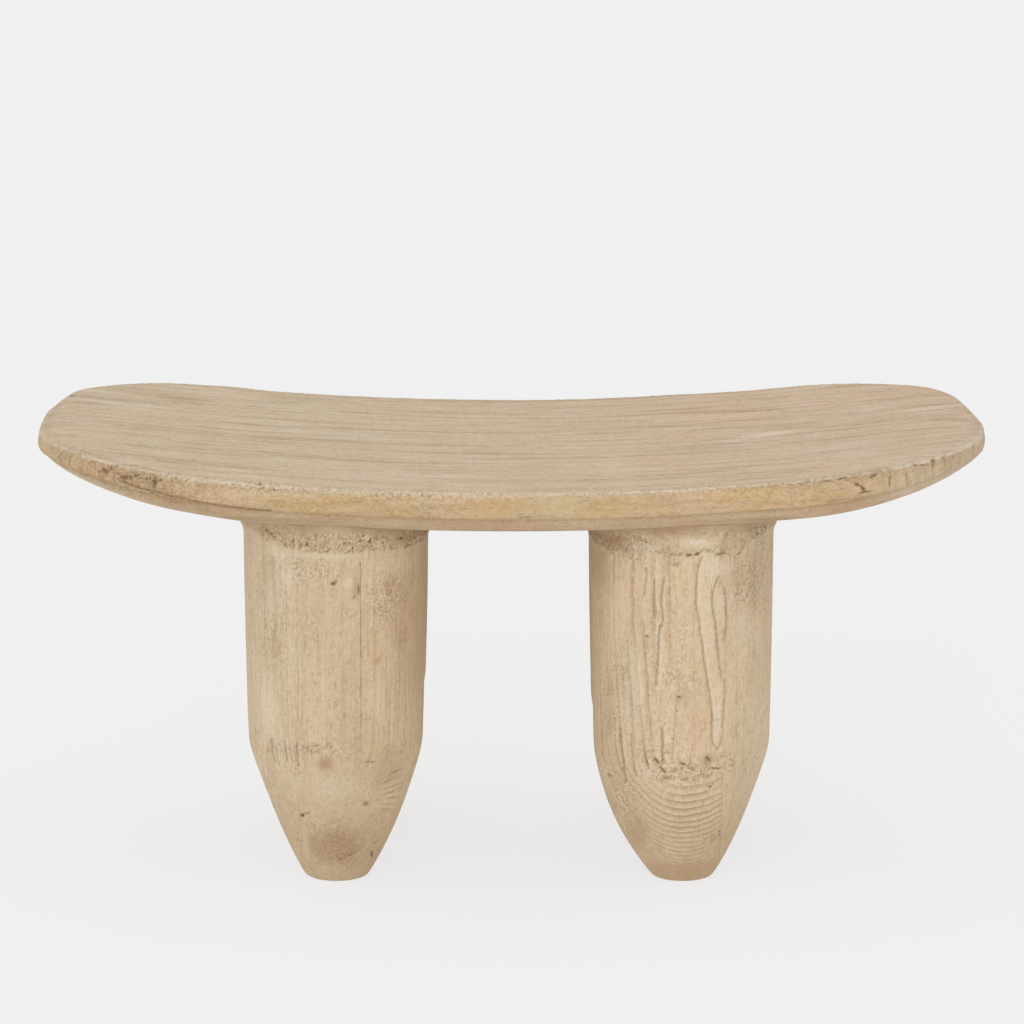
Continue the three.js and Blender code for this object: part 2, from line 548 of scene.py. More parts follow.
def edge_profile(settings, x, y):
    """Insets and depths down the edge of the slab, one row of the result for each step down.

    Counted from 1, rows up to 4 lie on the top, up to 11 round the arris, up to 23 down the rim, 24 and 25
    at the small step, and up to 33 in the chamfer.
    """
    radius = arris_radius(settings, x, y)
    rows = []
    for share in np.linspace(0, 1, 5)[:-1]:
        rows.append((EDGE_START_INSET + (RIM_BELLY + radius - EDGE_START_INSET) * share, 0))
    for turn in np.linspace(0, math.pi / 2, 7):
        rows.append((RIM_BELLY + radius * (1 - math.sin(turn)), radius * (1 - math.cos(turn))))
    belly = RIM_HEIGHT * BELLY_PLACE
    for share in np.linspace(0, 1, 13)[1:]:
        depth = radius + (RIM_HEIGHT - 1.4 * MM - radius) * share
        above = RIM_BELLY * np.clip((belly - depth) / (belly - radius), 0, 1) ** 2
        below = RIM_TUCK * np.clip((depth - belly) / (RIM_HEIGHT - belly), 0, 1) ** 2
        rows.append((above + below, depth))
    rows.append((RIM_TUCK + 0.8 * MM, RIM_HEIGHT - 0.1 * MM))
    rows.append((LEDGE_INSET - 0.9 * MM, RIM_HEIGHT + 0.3 * MM))
    for turn in np.linspace(0, math.pi / 2, 8):
        inset = LEDGE_INSET + CHAMFER_WIDTH * (1 - math.cos(turn))
        rows.append((inset, chamfer_depth(inset)))
    return tuple(np.array([radius * 0 + value for value in values]) for values in zip(*rows))


# Marks on the front of the rim: along the seat, and above the top's edge
RIM_MARKS = dents(
    (-366, -13.5, 8, 2.4, 84, 2.4, 0.95),
    (-419, -13, 7, 4, 20, 1.2, 0.6),
    (-411, -9, 5, 2, -30, 1.3, 0.8),
    (-396, -14, 8, 4.5, 10, 1.6, 0.65),
    (-385, -10, 6, 3, 40, 1.2, 0.6),
    (-375, -12, 5, 4, 0, 1.4, 0.7),
    (-371, -7, 5, 1.6, 60, 0.8, 0.6),
    (-359, -9, 3, 1.6, 20, 1.0, 0.8),
    (-345, -3.5, 5, 1.3, 10, 0.6, 0.7),
    (-311, -3.5, 2, 4, 0, 0.6, 0.5),
    (-285, -3, 4, 1.4, 0, 0.5, 0.6),
    (-256, -1.5, 4, 1.4, -25, 0.5, 0.6),
    (-244, -4, 5, 1.4, -35, 0.5, 0.6),
    (-211, -3, 3, 1.3, 0, 0.4, 0.55),
    (353, -11.5, 4, 1.7, -30, 1.8, 1.0),
    (359, -17, 4, 1.8, -55, 1.8, 1.0),
    (361, -21, 9, 1.3, 0, 1.0, 0.8),
    (340, -13, 12, 1.2, 6, 0.5, 0.5),
    (371, -4, 7, 1.6, 35, 1.3, 0.8),
    (387, -13, 10, 1.2, 88, 1.1, 0.8),
    (405, -13, 9, 1.2, 92, 0.9, 0.65),
    (419, -4, 13, 1.2, -22, 0.7, 0.6),
    (425, -12, 9, 1.2, 96, 0.6, 0.5),
    (433, -12, 9, 1.2, 98, 0.6, 0.5),
    (446, -10, 8, 1.3, 100, 0.5, 0.45),
    (455, -9, 8, 1.3, 100, 0.5, 0.4),
    (300, -2, 9, 1.3, 2, 0.5, 0.6),
    (322, -3, 7, 1.3, -6, 0.5, 0.65),
    (337, -2, 5, 1.5, 8, 0.6, 0.7),
    (-20, -10, 2.4, 1.4, 20, 0.5, 0.6),
    (-7, -12, 2, 1.3, 0, 0.4, 0.5),
    (8, -21.5, 2.6, 1.5, 0, 0.5, 0.6),
    (19, -13, 3, 1.3, 30, 0.4, 0.5),
    (13, -25, 7, 1.1, 0, 0.5, 0.6),
    (72, -7.5, 2.2, 1.3, 0, 0.4, 0.45),
)
# Long checks of the rim: the ragged one at the left, and a short one at the right
RIM_LINES = (
    check(
        1.5, 1.6, 1.0, 0, (-403, -20), (-386, -23), (-360, -24), (-319, -26.5), (-278, -27.5), (-247, -27.5)
    ),
    check(0.9, 0.5, 0.6, 0, (322, -25), (337, -25), (352, -26.5)),
)
# Marks on the top: along and across the seat
TOP_MARKS = dents((363, 10, 9, 2.2, 0, 0.6, 0.7), (341, 14, 5, 2, 0, 0.4, 0.5))
TOP_SCUFFS = patches((268, 2, 32, 9, 1.0, 12), (232, -14, 16, 8, 0.6), (300, 60, 40, 7, 0.4))


def seat_points(settings):
    """The skin of the slab, with the point numbers and the depths of its edge."""
    skin = Skin()
    top_x, top_y = plan_patch(TOP_COLUMNS, TOP_ROWS, TOP_PATCH_INSET)
    top = skin.add(*hewn(top_x, top_y, 0 * top_x))
    skin.weave(top.T)
    x, y = spaced_outline(EDGE_SPOKES)
    insets, depths = edge_profile(settings, x, y)
    edge_x = x * (1 - insets / HALF_LENGTH)
    edge = skin.add(*hewn(edge_x, y * (1 - insets / HALF_DEPTH), depths))
    skin.weave(np.concatenate([edge, edge[:, :1]], axis=1))
    under_x, under_y = plan_patch(UNDERSIDE_COLUMNS, UNDERSIDE_ROWS, UNDERSIDE_INSET)
    under = skin.add(*hewn(under_x, under_y, underside_depth(under_x, under_y)))
    skin.weave(under)
    turn = turn_of(x, y, 0)
    for grid, plan_x, plan_y, inset, ring, flip in (
        (top, top_x, top_y, TOP_PATCH_INSET, edge[0], False),
        (under, under_x, under_y, UNDERSIDE_INSET, edge[-1], True),
    ):
        loop = border(np.arange(grid.size).reshape(grid.shape))
        loop_turn = turn_of(plan_x.ravel()[loop], plan_y.ravel()[loop], inset)
        skin.zip(grid.ravel()[loop], loop_turn, ring, turn, flip)
    return skin, edge, depths


def seat_grain(settings, points, facing_up, facing_down):
    """How the seat's growth rings wander, how strongly they show, how deep they wear, and their chalk.

    The rings stand nearly upright in the slab, and swing towards the back where the tips roll down.
    """
    x, y, z = points.T
    wander = layered(points, (1.1, 3.5, 3.5), 3, 21) * 1.4 + layered(points, (6, 26, 26), 2, 22) * 0.2
    swing = TIP_SWING * TIP_ROLL * (np.abs(x) / HALF_LENGTH) ** TIP_ROLL_POWER
    reach = np.hypot(y - SEAT_HEART_Y, z - SEAT_HEART_Z)
    wander += (np.hypot(y - swing - SEAT_HEART_Y, z - SEAT_HEART_Z) - reach) / SEAT_RING
    growth = reach / SEAT_RING + wander
    figure = 0.18 + 0.82 * ring_strength(growth, x, 3.2, 0.05, 23)
    at_tip = smooth(0.37, 0.44, x) + 0.5 * smooth(0.42, 0.47, -x)
    figure = figure * (0.3 + 0.7 * np.maximum(facing_up, at_tip * (1 - facing_down)))
    tips = smooth(0.3, 0.47, np.abs(x)) * facing_up
    figure = np.minimum(figure * (1 + 0.6 * tips), 1)
    dip = settings.groove * ring_groove(growth) * figure * (1 + 0.4 * tips)
    straightened = np.stack([x, y - swing, z], axis=1)
    chalk = 0.55 * tips * smooth(0.1, 0.7, layered(straightened, (3, 75, 75), 2, 47))
    return wander, figure, dip, chalk


def rim_checks(points, edge, depths):
    """Dent, stain and crease from checks and knots of the rim: named ones in front, random ones behind."""
    numbers = edge.ravel()
    below = -depths.ravel()
    along, across, _ = points[numbers].T
    ahead = across < 0
    ragged = 0.6 * noise(points[numbers] * 260, 33)
    dent, dark = marked(along, below, RIM_MARKS, ragged)
    line_dent, line_dark, _ = lined(along, below, RIM_LINES, ragged * 2)
    random_marks = scattered_marks(26, 41, 0.46, -24 * MM, -4 * MM, 0.6)
    dent_back, dark_back = marked(along, below, random_marks, ragged)
    checks = np.zeros((3, len(points)))
    checks[0, numbers] = np.where(ahead, dent + line_dent, dent_back)
    checks[1, numbers] = np.where(ahead, dark, dark_back)
    checks[2, numbers] = line_dark * ahead
    return checks


def bedding(x, y, facing_down):
    """1 on the underside where a leg is bedded, fading to 0 round it."""
    bedded = np.zeros(len(x))
    for style in LEG_STYLES:
        leg_x, leg_y = middle_of(style.node)
        beyond = smooth(BED_RADIUS, BED_END, np.hypot(x - leg_x, y - leg_y))
        bedded = np.maximum(bedded, facing_down * (1 - beyond))
    return bedded


def build_seat(settings, finish):
    """The seat slab with its brushed top, its hewn rim and its plain underside."""
    skin, edge, depths = seat_points(settings)
    data = skin.mesh("seat_slab")
    points = read(data, "co")
    normals = read(data, "normal")
    # Rows down the edge, as edge_profile counts them, and 0 elsewhere
    row = np.zeros(len(points))
    row[edge.ravel()] = np.repeat(np.arange(1, len(edge) + 1), EDGE_SPOKES)
    x, y, _ = points.T
    front = y < 0
    ends = smooth(0.34, 0.43, np.abs(x))
    facing_up = smooth(0.3, 0.8, normals[:, 2])
    facing_down = smooth(0.3, 0.8, -normals[:, 2])
    wander, figure, dip, bleached = seat_grain(settings, points, facing_up, facing_down)

    # The arris crumbles, the rim is rough from the tool, and the grain lies open just inside the front edge
    near_edge = smooth(0, 5, row) * (1 - smooth(26, 29, row))
    patchy = smooth(-0.6, 0.6, layered(points, (11, 11, 11), 2, 37))
    grain = layered(points, (150, 150, 260), 3, 31)
    pits = smooth(0.35, 0.95, layered(points, (110, 110, 210), 2, 32))
    crumbs = smooth(0.2, 0.7, layered(points, (120, 140, 140), 2, 36)) * (0.25 + 0.75 * patchy)
    crumbs *= hump(row, 7.5, 3) * np.where(front, 1 + 0.7 * hump(x, 0.31, 0.05), 0.3)
    knotty = near_edge * front * (hump(x, -0.395, 0.055) + 0.9 * hump(x, 0.345, 0.05) * hump(row, 9, 4.5))
    dip += near_edge * (0.45 * MM * pits + 0.25 * MM * (1 + grain)) + 1.1 * MM * crumbs
    dip += 1.0 * MM * knotty * (1 + layered(points, (75, 75, 75), 2, 40))
    reach_y = HALF_DEPTH * np.sqrt(np.clip(1 - (np.abs(x) / HALF_LENGTH) ** END_BLUNTNESS, 0, 1))
    open_grain = front * facing_up * (1 - smooth(15 * MM, 75 * MM, reach_y - np.abs(y)))
    rough = (hump(row, 8.5, 2.6) * (0.1 + 0.4 * patchy)) + near_edge * (0.15 + 0.35 * patchy)
    rough = np.clip(rough + 0.45 * open_grain + 0.9 * knotty, 0, 1)
    knots = 0.75 * knotty * smooth(0.0, 0.6, layered(points, (55, 55, 70), 2, 46))

    # Named and random checks, a painted shadow line along the small step, and painted shade below it
    dent, stain_and_shade, crease = rim_checks(points, edge, depths)
    dip += dent
    step_shadow = hump(row, 25.2, 1.0) * (0.3 + 0.35 * layered(points, (14, 14, 3), 2, 34))
    crease = np.maximum(crease, step_shadow * (1 - 0.7 * ends))
    stain_and_shade += 0.25 * pits * near_edge + 0.45 * crumbs + 0.5 * knotty * grain
    shade = hump(row, 27, 1.6) * (0.45 + 0.3 * layered(points, (7, 7, 7), 2, 42)) * (1 - 0.75 * ends)

    # Sawn end grain stands in upright ridges at the front right, and the top has scuffs and a few dashes
    ridged = near_edge * front * smooth(0.375, 0.4, x)
    ridges = layered(points, (150, 40, 12), 2, 43)
    dip += 0.6 * MM * ridged * (1 + ridges)
    stain_and_shade += 0.6 * ridged * hump(row, 9.5, 4) * smooth(0.15, 0.7, ridges)
    ridge_brown = ridged * hump(row, 12, 4) * (0.2 + 0.35 * hump(x, 0.455, 0.025))
    top_dent, top_dark = marked(x, y, TOP_MARKS, 0.5 * noise(points * 150, 44))
    scuff = marked(x, y, TOP_SCUFFS, 0.5 * noise(points * 60, 45))[1] * facing_up
    dip += top_dent * facing_up
    stain_and_shade = np.maximum(stain_and_shade, top_dark * facing_up)

    # The underside keeps its true form where the legs are bedded
    lift = 0.3 * MM * layered(points, (3, 9, 9), 2, 24)
    lift += 0.35 * MM * near_edge * layered(points, (16, 16, 50), 2, 35)
    relief = np.minimum(lift - dip, HIGHEST_RELIEF) * (1 - bedding(x, y, facing_down))
    data.vertices.foreach_set("co", (points + normals * relief[:, None]).ravel())
    data.update()
    # A painted highlight along the arris, with its worn, bleached edge
    arris_light = hump(row, 7.2, 1.2) * (0.6 + 0.5 * layered(points, (20, 20, 20), 2, 38))
    # Chalk in the end grain and the open grain, and painted light that pales the chamfer near the ends where
    # it turns down
    chalk_and_lightening = 0.35 * ridged + 0.25 * open_grain + 0.4 * ends * hump(row, 30, 4)
    values = {
        "wander": wander,
        "figure": figure,
        "rough": rough,
        "hollow": np.clip(dip / (1.2 * MM), 0, 1),
        "stain_and_shade": np.clip(stain_and_shade, 0, 1),
        "crease": np.clip(crease, 0, 1),
        # Bloom and highlight: scuffs and chalk, with the painted highlights of the arris and the chamfer's
        # ends
        "bloom_and_highlight": np.clip(0.7 * arris_light + scuff + bleached + chalk_and_lightening, 0, 1),
        # Brown: painted shade on faces that turn down and below the small step, with real knots and
        # end-grain brown
        "brown": np.clip(facing_down * 0.25 + shade + knots + ridge_brown, 0, 1),
        "flank": np.maximum(smooth(6, 12, row) - 0.6 * smooth(25, 27, row), 0.35 * open_grain),
    }
    store(data, values)
    return piece_from(data, seat_finish(finish), "seat")


# Leg form


def leg_radius(style, height, neck):
    """Radius of a leg at each height, without its cove and the edge of its foot."""
    knee = style.knee_height
    below = np.clip(knee - height, 0, knee)
    curve = (style.knee_radius - style.foot_radius - style.knee_slope * knee) / knee**2
    taper = style.knee_radius - style.knee_slope * below - curve * below**2
    share = np.clip((height - knee) / (neck - knee), 0, 1)
    shaft = style.knee_radius + (LEG_TOP_RADIUS - style.knee_radius) * (1 - (1 - share) ** 2)
    trim = 1.2 * MM * smooth(0, 0.35, below / knee) + style.foot_trim * np.exp(-np.abs(height) / (16 * MM))
    return np.where(height < knee, taper, shaft) - trim


def leg_heights(style, top, neck):
    """Heights of the rows of points up a leg, close together where the surface is busy."""
    coarse = 1 if style.fine else 1.7
    collar = neck - 14 * MM
    steps = ((3 * MM, style.knee_height, 1.25), (style.knee_height, collar, 3.0), (collar, top, 1.35))
    rows = [np.array([0, 0.4, 1, 1.9]) * MM]
    for low, high, step in steps:
        count = math.ceil((high - low) / (step * coarse * MM))
        rows.append(low + (high - low) * np.arange(count) / count)
    return np.concatenate([*rows, [top]])


def leg_outline(style, height, neck, top):
    """Radius and sideways sway at each height of a leg."""
    softened = [leg_radius(style, height + shift * MM, neck) for shift in (-8, -4, 0, 4, 8)]
    radius = np.where(height > 12 * MM, sum(softened) / 5, softened[2])
    rise = np.clip((height - neck) / (top - neck), 0, 1)
    radius = radius + style.cove_flare * rise**3 + FILLET * rise**12
    tuck = np.clip(1 - height / style.foot_edge, 0, 1)
    radius = radius - style.foot_edge * (1 - np.sqrt(1 - tuck**2))
    share = np.clip(1 - height / style.knee_height, 0, 1)
    return radius, style.sway_foot * share + style.sway_mid * np.sin(math.pi * share)


def leg_figure(style, places, calm, bold):
    """Ring wander, ring strength and ring relief of a leg's boards."""
    across, _, up = places.T
    wander = layered(places, (8, 8, 1.6), 3, style.salt) * style.wander
    wander += layered(places, (60, 60, 45), 2, style.salt + 1) * 0.16
    relief = np.zeros(len(places))
    strength = np.zeros(len(places))
    left = np.full(len(places), -1.0)
    for board in style.boards:
        edge = board.edge + board.lean * (1 - up / DISH_FLOOR)
        within = (across > left) & (across <= edge)
        growth = np.hypot(across - board.heart_x, places[:, 1] - board.heart_y) / board.ring + wander
        share = 0.12 + 0.63 * ring_strength(growth, up, 6, -0.1, style.salt + 2)
        share = np.maximum(share * (1 - calm), bold)
        relief -= np.where(within, board.relief * ring_groove(growth) * share, 0)
        strength += np.where(within, share, 0)
        left = edge
    return wander, strength, relief


def leg_places(style, middle_x, top, neck):
    """Heights, angles, radius and sway of the rows of places that a leg is made of."""
    height = leg_heights(style, top, neck)[:, None]
    turn = np.linspace(0, 2 * math.pi, style.columns, endpoint=False)[None, :]
    # The columns of a fine leg stand closer together in front
    angle = turn - 0.3 * np.sin(turn) if style.fine else turn
    radius, sway = leg_outline(style, height, neck, top)
    # The flare starts lower on the inner side than on the outer one
    outward = np.sin(angle) * math.copysign(1, middle_x)
    rise = np.clip((height - top + (34 - 4.5 * outward) * MM) / (14 * MM), 0, 1)
    return height, angle, radius + CORNER_FLARE * rise**2.5 * outward**4, sway


def neck_cuts(style, places, calm, top, neck):
    """The neck, hacked out with short cuts: where it lies, how rough it is, its cuts and its ragged lip."""
    across, away, up = places.T
    salt = style.salt
    line_x, line_z = zip(*style.neck_line) if style.neck_line else ((0,), (neck,))
    neck_edge = np.where(away < FRONT_REACH, np.interp(across, line_x, line_z), neck)
    neck_edge += 2.4 * MM * noise(np.stack([across * 60, away * 60, across * 0], axis=1), salt + 5)
    in_neck = smooth(-1.2 * MM, 1.2 * MM, up - neck_edge)
    cuts = layered(places, (360, 360, 400), 2, salt + 6)
    rough = np.clip(0.65 + 0.7 * layered(places, (22, 22, 30), 2, salt + 7), 0, 1) * (1 - 0.85 * calm)
    rough = rough * in_neck * (1 - smooth(top - 10 * MM, top - 3 * MM, up))
    lip = hump(up, neck_edge, 1.7 * MM) * smooth(-0.5, 0.2, layered(places, (90, 90, 20), 1, salt + 8))
    return in_neck, rough, cuts, lip * (1 - 0.7 * calm)


def leg_wear_and_shading(style, places, top, neck):
    """How far the skin of a leg moves out at each place, and the numbers for its finish, painted shade and
    highlights among them.
    """
    across, away, up = places.T
    facing = away < FRONT_REACH
    salt = style.salt
    soft = 0.5 * layered(places, (70, 70, 50), 2, salt + 11)
    calm = marked(across, up, style.worn, soft * 0.4)[1] * facing
    kinds = (style.bold, style.pale, style.brown, style.granular)
    bold, pale, brown, granular = (marked(across, up, kind, soft)[1] * facing for kind in kinds)
    wander, figure, relief = leg_figure(style, places, calm, bold)
    relief += 0.12 * MM * layered(places, (240, 240, 60), 2, salt + 3)
    relief += 0.45 * MM * layered(places, (11, 11, 5), 2, salt + 4)
    in_neck, rough, cuts, lip = neck_cuts(style, places, calm, top, neck)
    dip = rough * (0.4 * MM + 1.4 * MM * cuts) + 0.7 * MM * lip

    # Named marks on the front, random ones behind
    ragged = 0.6 * noise(places * 260, salt + 9)
    dent, dark = marked(across, up, style.marks, ragged)
    line_dent, line_dark, line_light = lined(across, up, style.lines, ragged * 1.6)
    arc = LEG_TOP_RADIUS * np.arcsin(np.clip(across / LEG_TOP_RADIUS, -1, 1))
    random_marks = scattered_marks(30, salt + 10, 0.12, 0.03, neck, 0.55)
    dent_back, dark_back = marked(arc, up, random_marks, ragged)
    dip += np.where(facing, dent + line_dent, dent_back)
    dark = np.where(facing, dark, dark_back)
    # Painted shade: the deep cuts of the hacked neck are darkened
    dark = np.maximum(dark, 0.9 * rough * smooth(0.0, 0.7, cuts))
    dark = np.maximum(dark, 0.75 * lip * smooth(-0.2, 0.4, cuts))
    # Painted highlight beside each long line, where its raised side would catch the light
    pale = np.maximum(pale, line_light * facing)
    # Painted highlight: the chips between the neck's cuts are paled
    pale = np.maximum(pale, 0.75 * rough * smooth(0.0, 0.5, -cuts))

    # Small chips at the knee, speckled patches, painted shade under the seat, and browner wood low on the
    # taper
    at_knee = hump(up, style.knee_height + 6 * MM, 16 * MM)
    at_knee *= smooth(-0.2, 0.7, layered(places, (20, 20, 30), 2, salt + 12))
    chips = at_knee * smooth(0.15, 0.75, layered(places, (230, 230, 150), 2, salt + 13))
    dip += 0.6 * MM * chips
    dip += 0.35 * MM * granular * (1 + layered(places, (200, 200, 200), 2, salt + 15))
    dark = np.maximum(dark, 0.55 * chips)
    shade_under_seat = smooth(top - 18 * MM, top - 3 * MM, up)
    shade_under_seat *= np.clip(0.75 + 0.5 * layered(places, (25, 25, 10), 2, salt + 14), 0, 1)
    low_taper = 0.38 * (1 - smooth(25 * MM, 135 * MM, up))
    brown = np.maximum.reduce([brown, shade_under_seat, low_taper, 0.35 * in_neck * (1 - calm)])
    rough = rough + 0.6 * at_knee + 0.6 * lip + 0.45 * smooth(-0.3, 0.8, soft * 2) + granular
    values = {
        "wander": wander,
        "figure": figure,
        "rough": np.clip(rough, 0, 1),
        "hollow": np.clip((dip - relief) / (1.3 * MM), 0, 1),
        "stain_and_shade": np.clip(dark, 0, 1),
        "crease": np.clip(line_dark * facing, 0, 1),
        "bloom_and_highlight": np.clip(pale, 0, 1),
        # Brown: stains and browner wood, with painted shade just under the seat
        "brown": np.clip(brown, 0, 1),
    }
    return np.minimum(relief - dip, HIGHEST_RELIEF) * np.clip(up / (4 * MM), 0, 1), values


def close_ends(skin, grid, x, y, sway, middle_x, middle_y):
    """Closes a leg with rings that shrink to a point: flat at its foot, and along the slab at its top."""
    for end, scales in ((0, (0.97, 0.6, 0.25)), (-1, (0.93, 0.8, 0.55, 0.3))):
        rings = [grid[end]]
        centre_x = middle_x + float(sway[end, 0])
        for scale in (*scales, 0):
            ring_x = centre_x + (x[end] - centre_x) * scale
            ring_y = middle_y + (y[end] - middle_y) * scale
            level = 0 * ring_x if end == 0 else slab_bottom(ring_x, ring_y) + SEAT_BITE
            if scale:
                rings.append(skin.add(ring_x, ring_y, level))
            else:
                tip = skin.add(ring_x[:1], ring_y[:1], level[:1])[0]
        stack = np.array(rings)
        loop = np.concatenate([stack, stack[:, :1]], axis=1)
        skin.weave(loop if end == 0 else loop.T)
        skin.fan(tip, rings[-1][::-1] if end == 0 else rings[-1])


def build_leg(style, finish):
    """A turned leg glued up from boards, with its rough neck, ring relief, checks and knots."""
    middle_x, middle_y = middle_of(style.node)
    top = float(slab_bottom(np.array(middle_x), np.array(middle_y))) + SEAT_BITE
    neck = top - NECK_HEIGHT
    height, angle, radius, sway = leg_places(style, middle_x, top, neck)
    places = np.broadcast_arrays(sway + radius * np.sin(angle), -radius * np.cos(angle), height)
    moved, values = leg_wear_and_shading(style, np.stack(places, axis=-1).reshape(-1, 3), top, neck)
    shaped = radius + moved.reshape(len(height), -1)
    x = middle_x + sway + shaped * np.sin(angle)
    y = middle_y - shaped * np.cos(angle)
    share = np.clip((height - style.knee_height) / (top - style.knee_height), 0, 1)
    z = height + (slab_bottom(x, y) + SEAT_BITE - top) * share**8

    skin = Skin()
    grid = skin.add(x, y, z)
    skin.weave(np.concatenate([grid, grid[:, :1]], axis=1).T)
    close_ends(skin, grid, x, y, sway, middle_x, middle_y)
    data = skin.mesh(style.piece)
    store(data, values)
    return piece_from(data, leg_finish(finish, style, middle_x, middle_y), style.node)


# Leg styles

FRONT_LEFT = LegStyle(
    piece="front_left_leg",
    node="leg_front_left",
    knee_radius=90.8 * MM,
    knee_slope=0.243,
    foot_radius=36 * MM,
    foot_trim=2.4 * MM,
    foot_edge=3.2 * MM,
    cove_flare=3 * MM,
    knee_height=145 * MM,
    sway_foot=0.4 * MM,
    sway_mid=1.2 * MM,
    columns=440,
    fine=True,
    salt=100,
    wander=1.1,
    boards=(
        Board(-36.8 * MM, 0, -0.62, 0.05, 3.3 * MM, 0.45, 0.28 * MM, (1.04, 1.045, 1.05), 0.3, 0.15),
        Board(28.7 * MM, 0, 0.55, 0.12, 4.1 * MM, 0.1, 0.06 * MM, (0.98, 0.965, 0.95), 0.55, 0.15),
        Board(1, 0, 0.03, 0.09, 3.0 * MM, 0.35, 0.3 * MM, (1.01, 0.985, 0.95)),
    ),
    neck_line=route(
        (-80, 389), (-73, 386), (-59, 377), (-44, 371), (-28, 369), (18, 368), (49, 370), (74, 368)
    ),
    marks=dents(
        (0.7, 336, 3.4, 2.2, 20, 0.9, 0.9),
        (4.5, 339, 4, 1.1, 35, 0.4, 0.55),
        (-35.5, 332, 3.2, 2, 0, 0.4, 0.5),
        (27, 329, 7, 1.5, 88, 0.7, 0.75),
        (23, 321.5, 2, 1.4, 0, 0.5, 0.6),
        (26, 319, 2, 1.4, 0, 0.5, 0.6),
        (-32, 159.5, 2.4, 1.5, 5, 0.5, 0.6),
        (-26.5, 161, 3, 1.4, 15, 0.5, 0.6),
        (-19, 162.5, 4, 1.5, 10, 0.6, 0.65),
        (17, 149, 2.5, 1.6, -50, 0.5, 0.55),
        (36, 143.3, 10, 1.2, -5, 0.6, 0.6),
        (64, 127, 9, 1.2, 12, 0.6, 0.55),
        (57, 117.5, 12, 1.2, 14, 0.6, 0.5),
        (58, 109, 10, 1.2, 8, 0.5, 0.4),
        (56, 102.5, 12, 1.2, 5, 0.6, 0.5),
        (58, 95.5, 9, 1.2, -12, 0.6, 0.5),
        (55, 89, 11, 1.2, -20, 0.5, 0.4),
        (57, 82, 8, 1.2, -25, 0.5, 0.45),
        (-34.1, 79.8, 2.4, 2.0, 70, 2.6, 1.0),
        (-29, 83, 5, 1.1, 28, 0.7, 0.6),
        (33, 94.6, 3.4, 3, 10, 0.5, 0.6),
        (38.4, 29.5, 5, 1.3, -82, 1.4, 0.9),
        (42, 43.8, 3.5, 1.4, 30, 0.5, 0.55),
        (5, 28.5, 3, 1.6, 20, 0.5, 0.6),
        (17, 34, 12, 1.4, 26, 0.5, 0.6),
        (-40, 47, 4, 1.3, 80, 0.4, 0.5),
        (71, 379, 2.2, 1.8, 0, 0.9, 1.0),
        (38.7, 379.5, 2.4, 2, 0, 0.7, 0.9),
        (46, 252, 3, 1.6, 60, 0.4, 0.5),
    ),
    lines=(
        check(0.9, 0.6, 0.65, 0.3, (-64.8, 163), (-64.5, 151), (-61.5, 139)),
        check(0.8, 0.5, 0.5, 0.2, (-61, 158), (-60, 148), (-58, 138)),
        check(0.9, 0.6, 0.65, 0.3, (-52.5, 165), (-50.5, 156), (-48.5, 143)),
        check(0.8, 0.5, 0.5, 0.2, (-46, 160), (-45, 151), (-43, 141)),
        check(0.8, 0.5, 0.55, 0.2, (-42, 161), (-40.5, 153), (-39, 144)),
        check(0.9, 0.6, 0.7, 0.3, (-38.5, 164), (-38, 152), (-36.5, 139)),
        check(1.8, 0.2, 0.35, 0.3, (-61.8, 358), (-61, 330), (-59.8, 300), (-60.5, 270)),
    ),
    # Pale patches; the band at (-15, 364) is a painted sheen on the smooth neck
    pale=patches(
        (-15, 364, 32, 3.0, 0.5),
        (-53, 361, 13, 8, 0.6),
        (-45, 344, 10, 12, 0.55),
        (16, 336, 7, 6, 0.55),
        (-68, 200, 10, 34, 0.6),
        (-62, 320, 12, 26, 0.4),
        (60, 350, 20, 10, 0.4),
        (44, 215, 8, 26, 0.35),
        (-31, 49, 24, 3.0, 0.4, 92),
        (58, 113, 11, 1.8, 0.45, 12),
        (58, 106, 11, 1.8, 0.45, 8),
        (58, 99, 11, 1.8, 0.45, -4),
        (57, 92.5, 10, 1.8, 0.4, -16),
        (56, 86, 9, 1.8, 0.4, -22),
        (0, 115, 22, 14, 0.35),
        (-45, 260, 9, 22, 0.35),
    ),
    brown=patches(
        (80, 380, 24, 10, 0.95),
        (-32, 388, 9, 3, 0.7),
        (-62, 383, 20, 8, 0.55),
        (-40, 374, 16, 5, 0.4),
        (74, 300, 12, 50, 0.3),
        (71, 272, 10, 16, 0.5),
        (-9, 143.5, 7.5, 8, 1.0),
        (24, 333, 12, 3.5, 0.8, 86),
        (14, 37, 18, 7, 1.0, 27),
        (0, 46, 31, 28, 1.0),
        (-22, 158, 14, 5, 0.4, 10),
        (-58, 262, 6, 12, 0.45),
        (-70, 330, 7, 30, 0.35),
        (60, 330, 8, 22, 0.45),
        (33, 95, 5, 5, 0.7),
        (46, 252, 5, 5, 0.4),
        (55, 130, 14, 30, 0.3),
        (10, 3, 40, 8, 0.45),
    ),
    worn=patches((-4, 115, 28, 16, 0.7), (-4, 290, 26, 60, 0.5), (60, 300, 22, 50, 0.45)),
    bold=patches((62, 105, 14, 26, 0.35), (-52, 152, 22, 14, 0.5)),
    granular=patches(
        (0, 46, 34, 30, 0.6),
        (-30, 350, 40, 16, 0.6),
        (58, 318, 22, 34, 0.8),
        (-62, 280, 20, 60, 0.4),
        (-10, 158, 40, 12, 0.5),
        (-62, 382, 20, 9, 0.9),
        (-30, 374, 36, 7, 0.6),
    ),
)
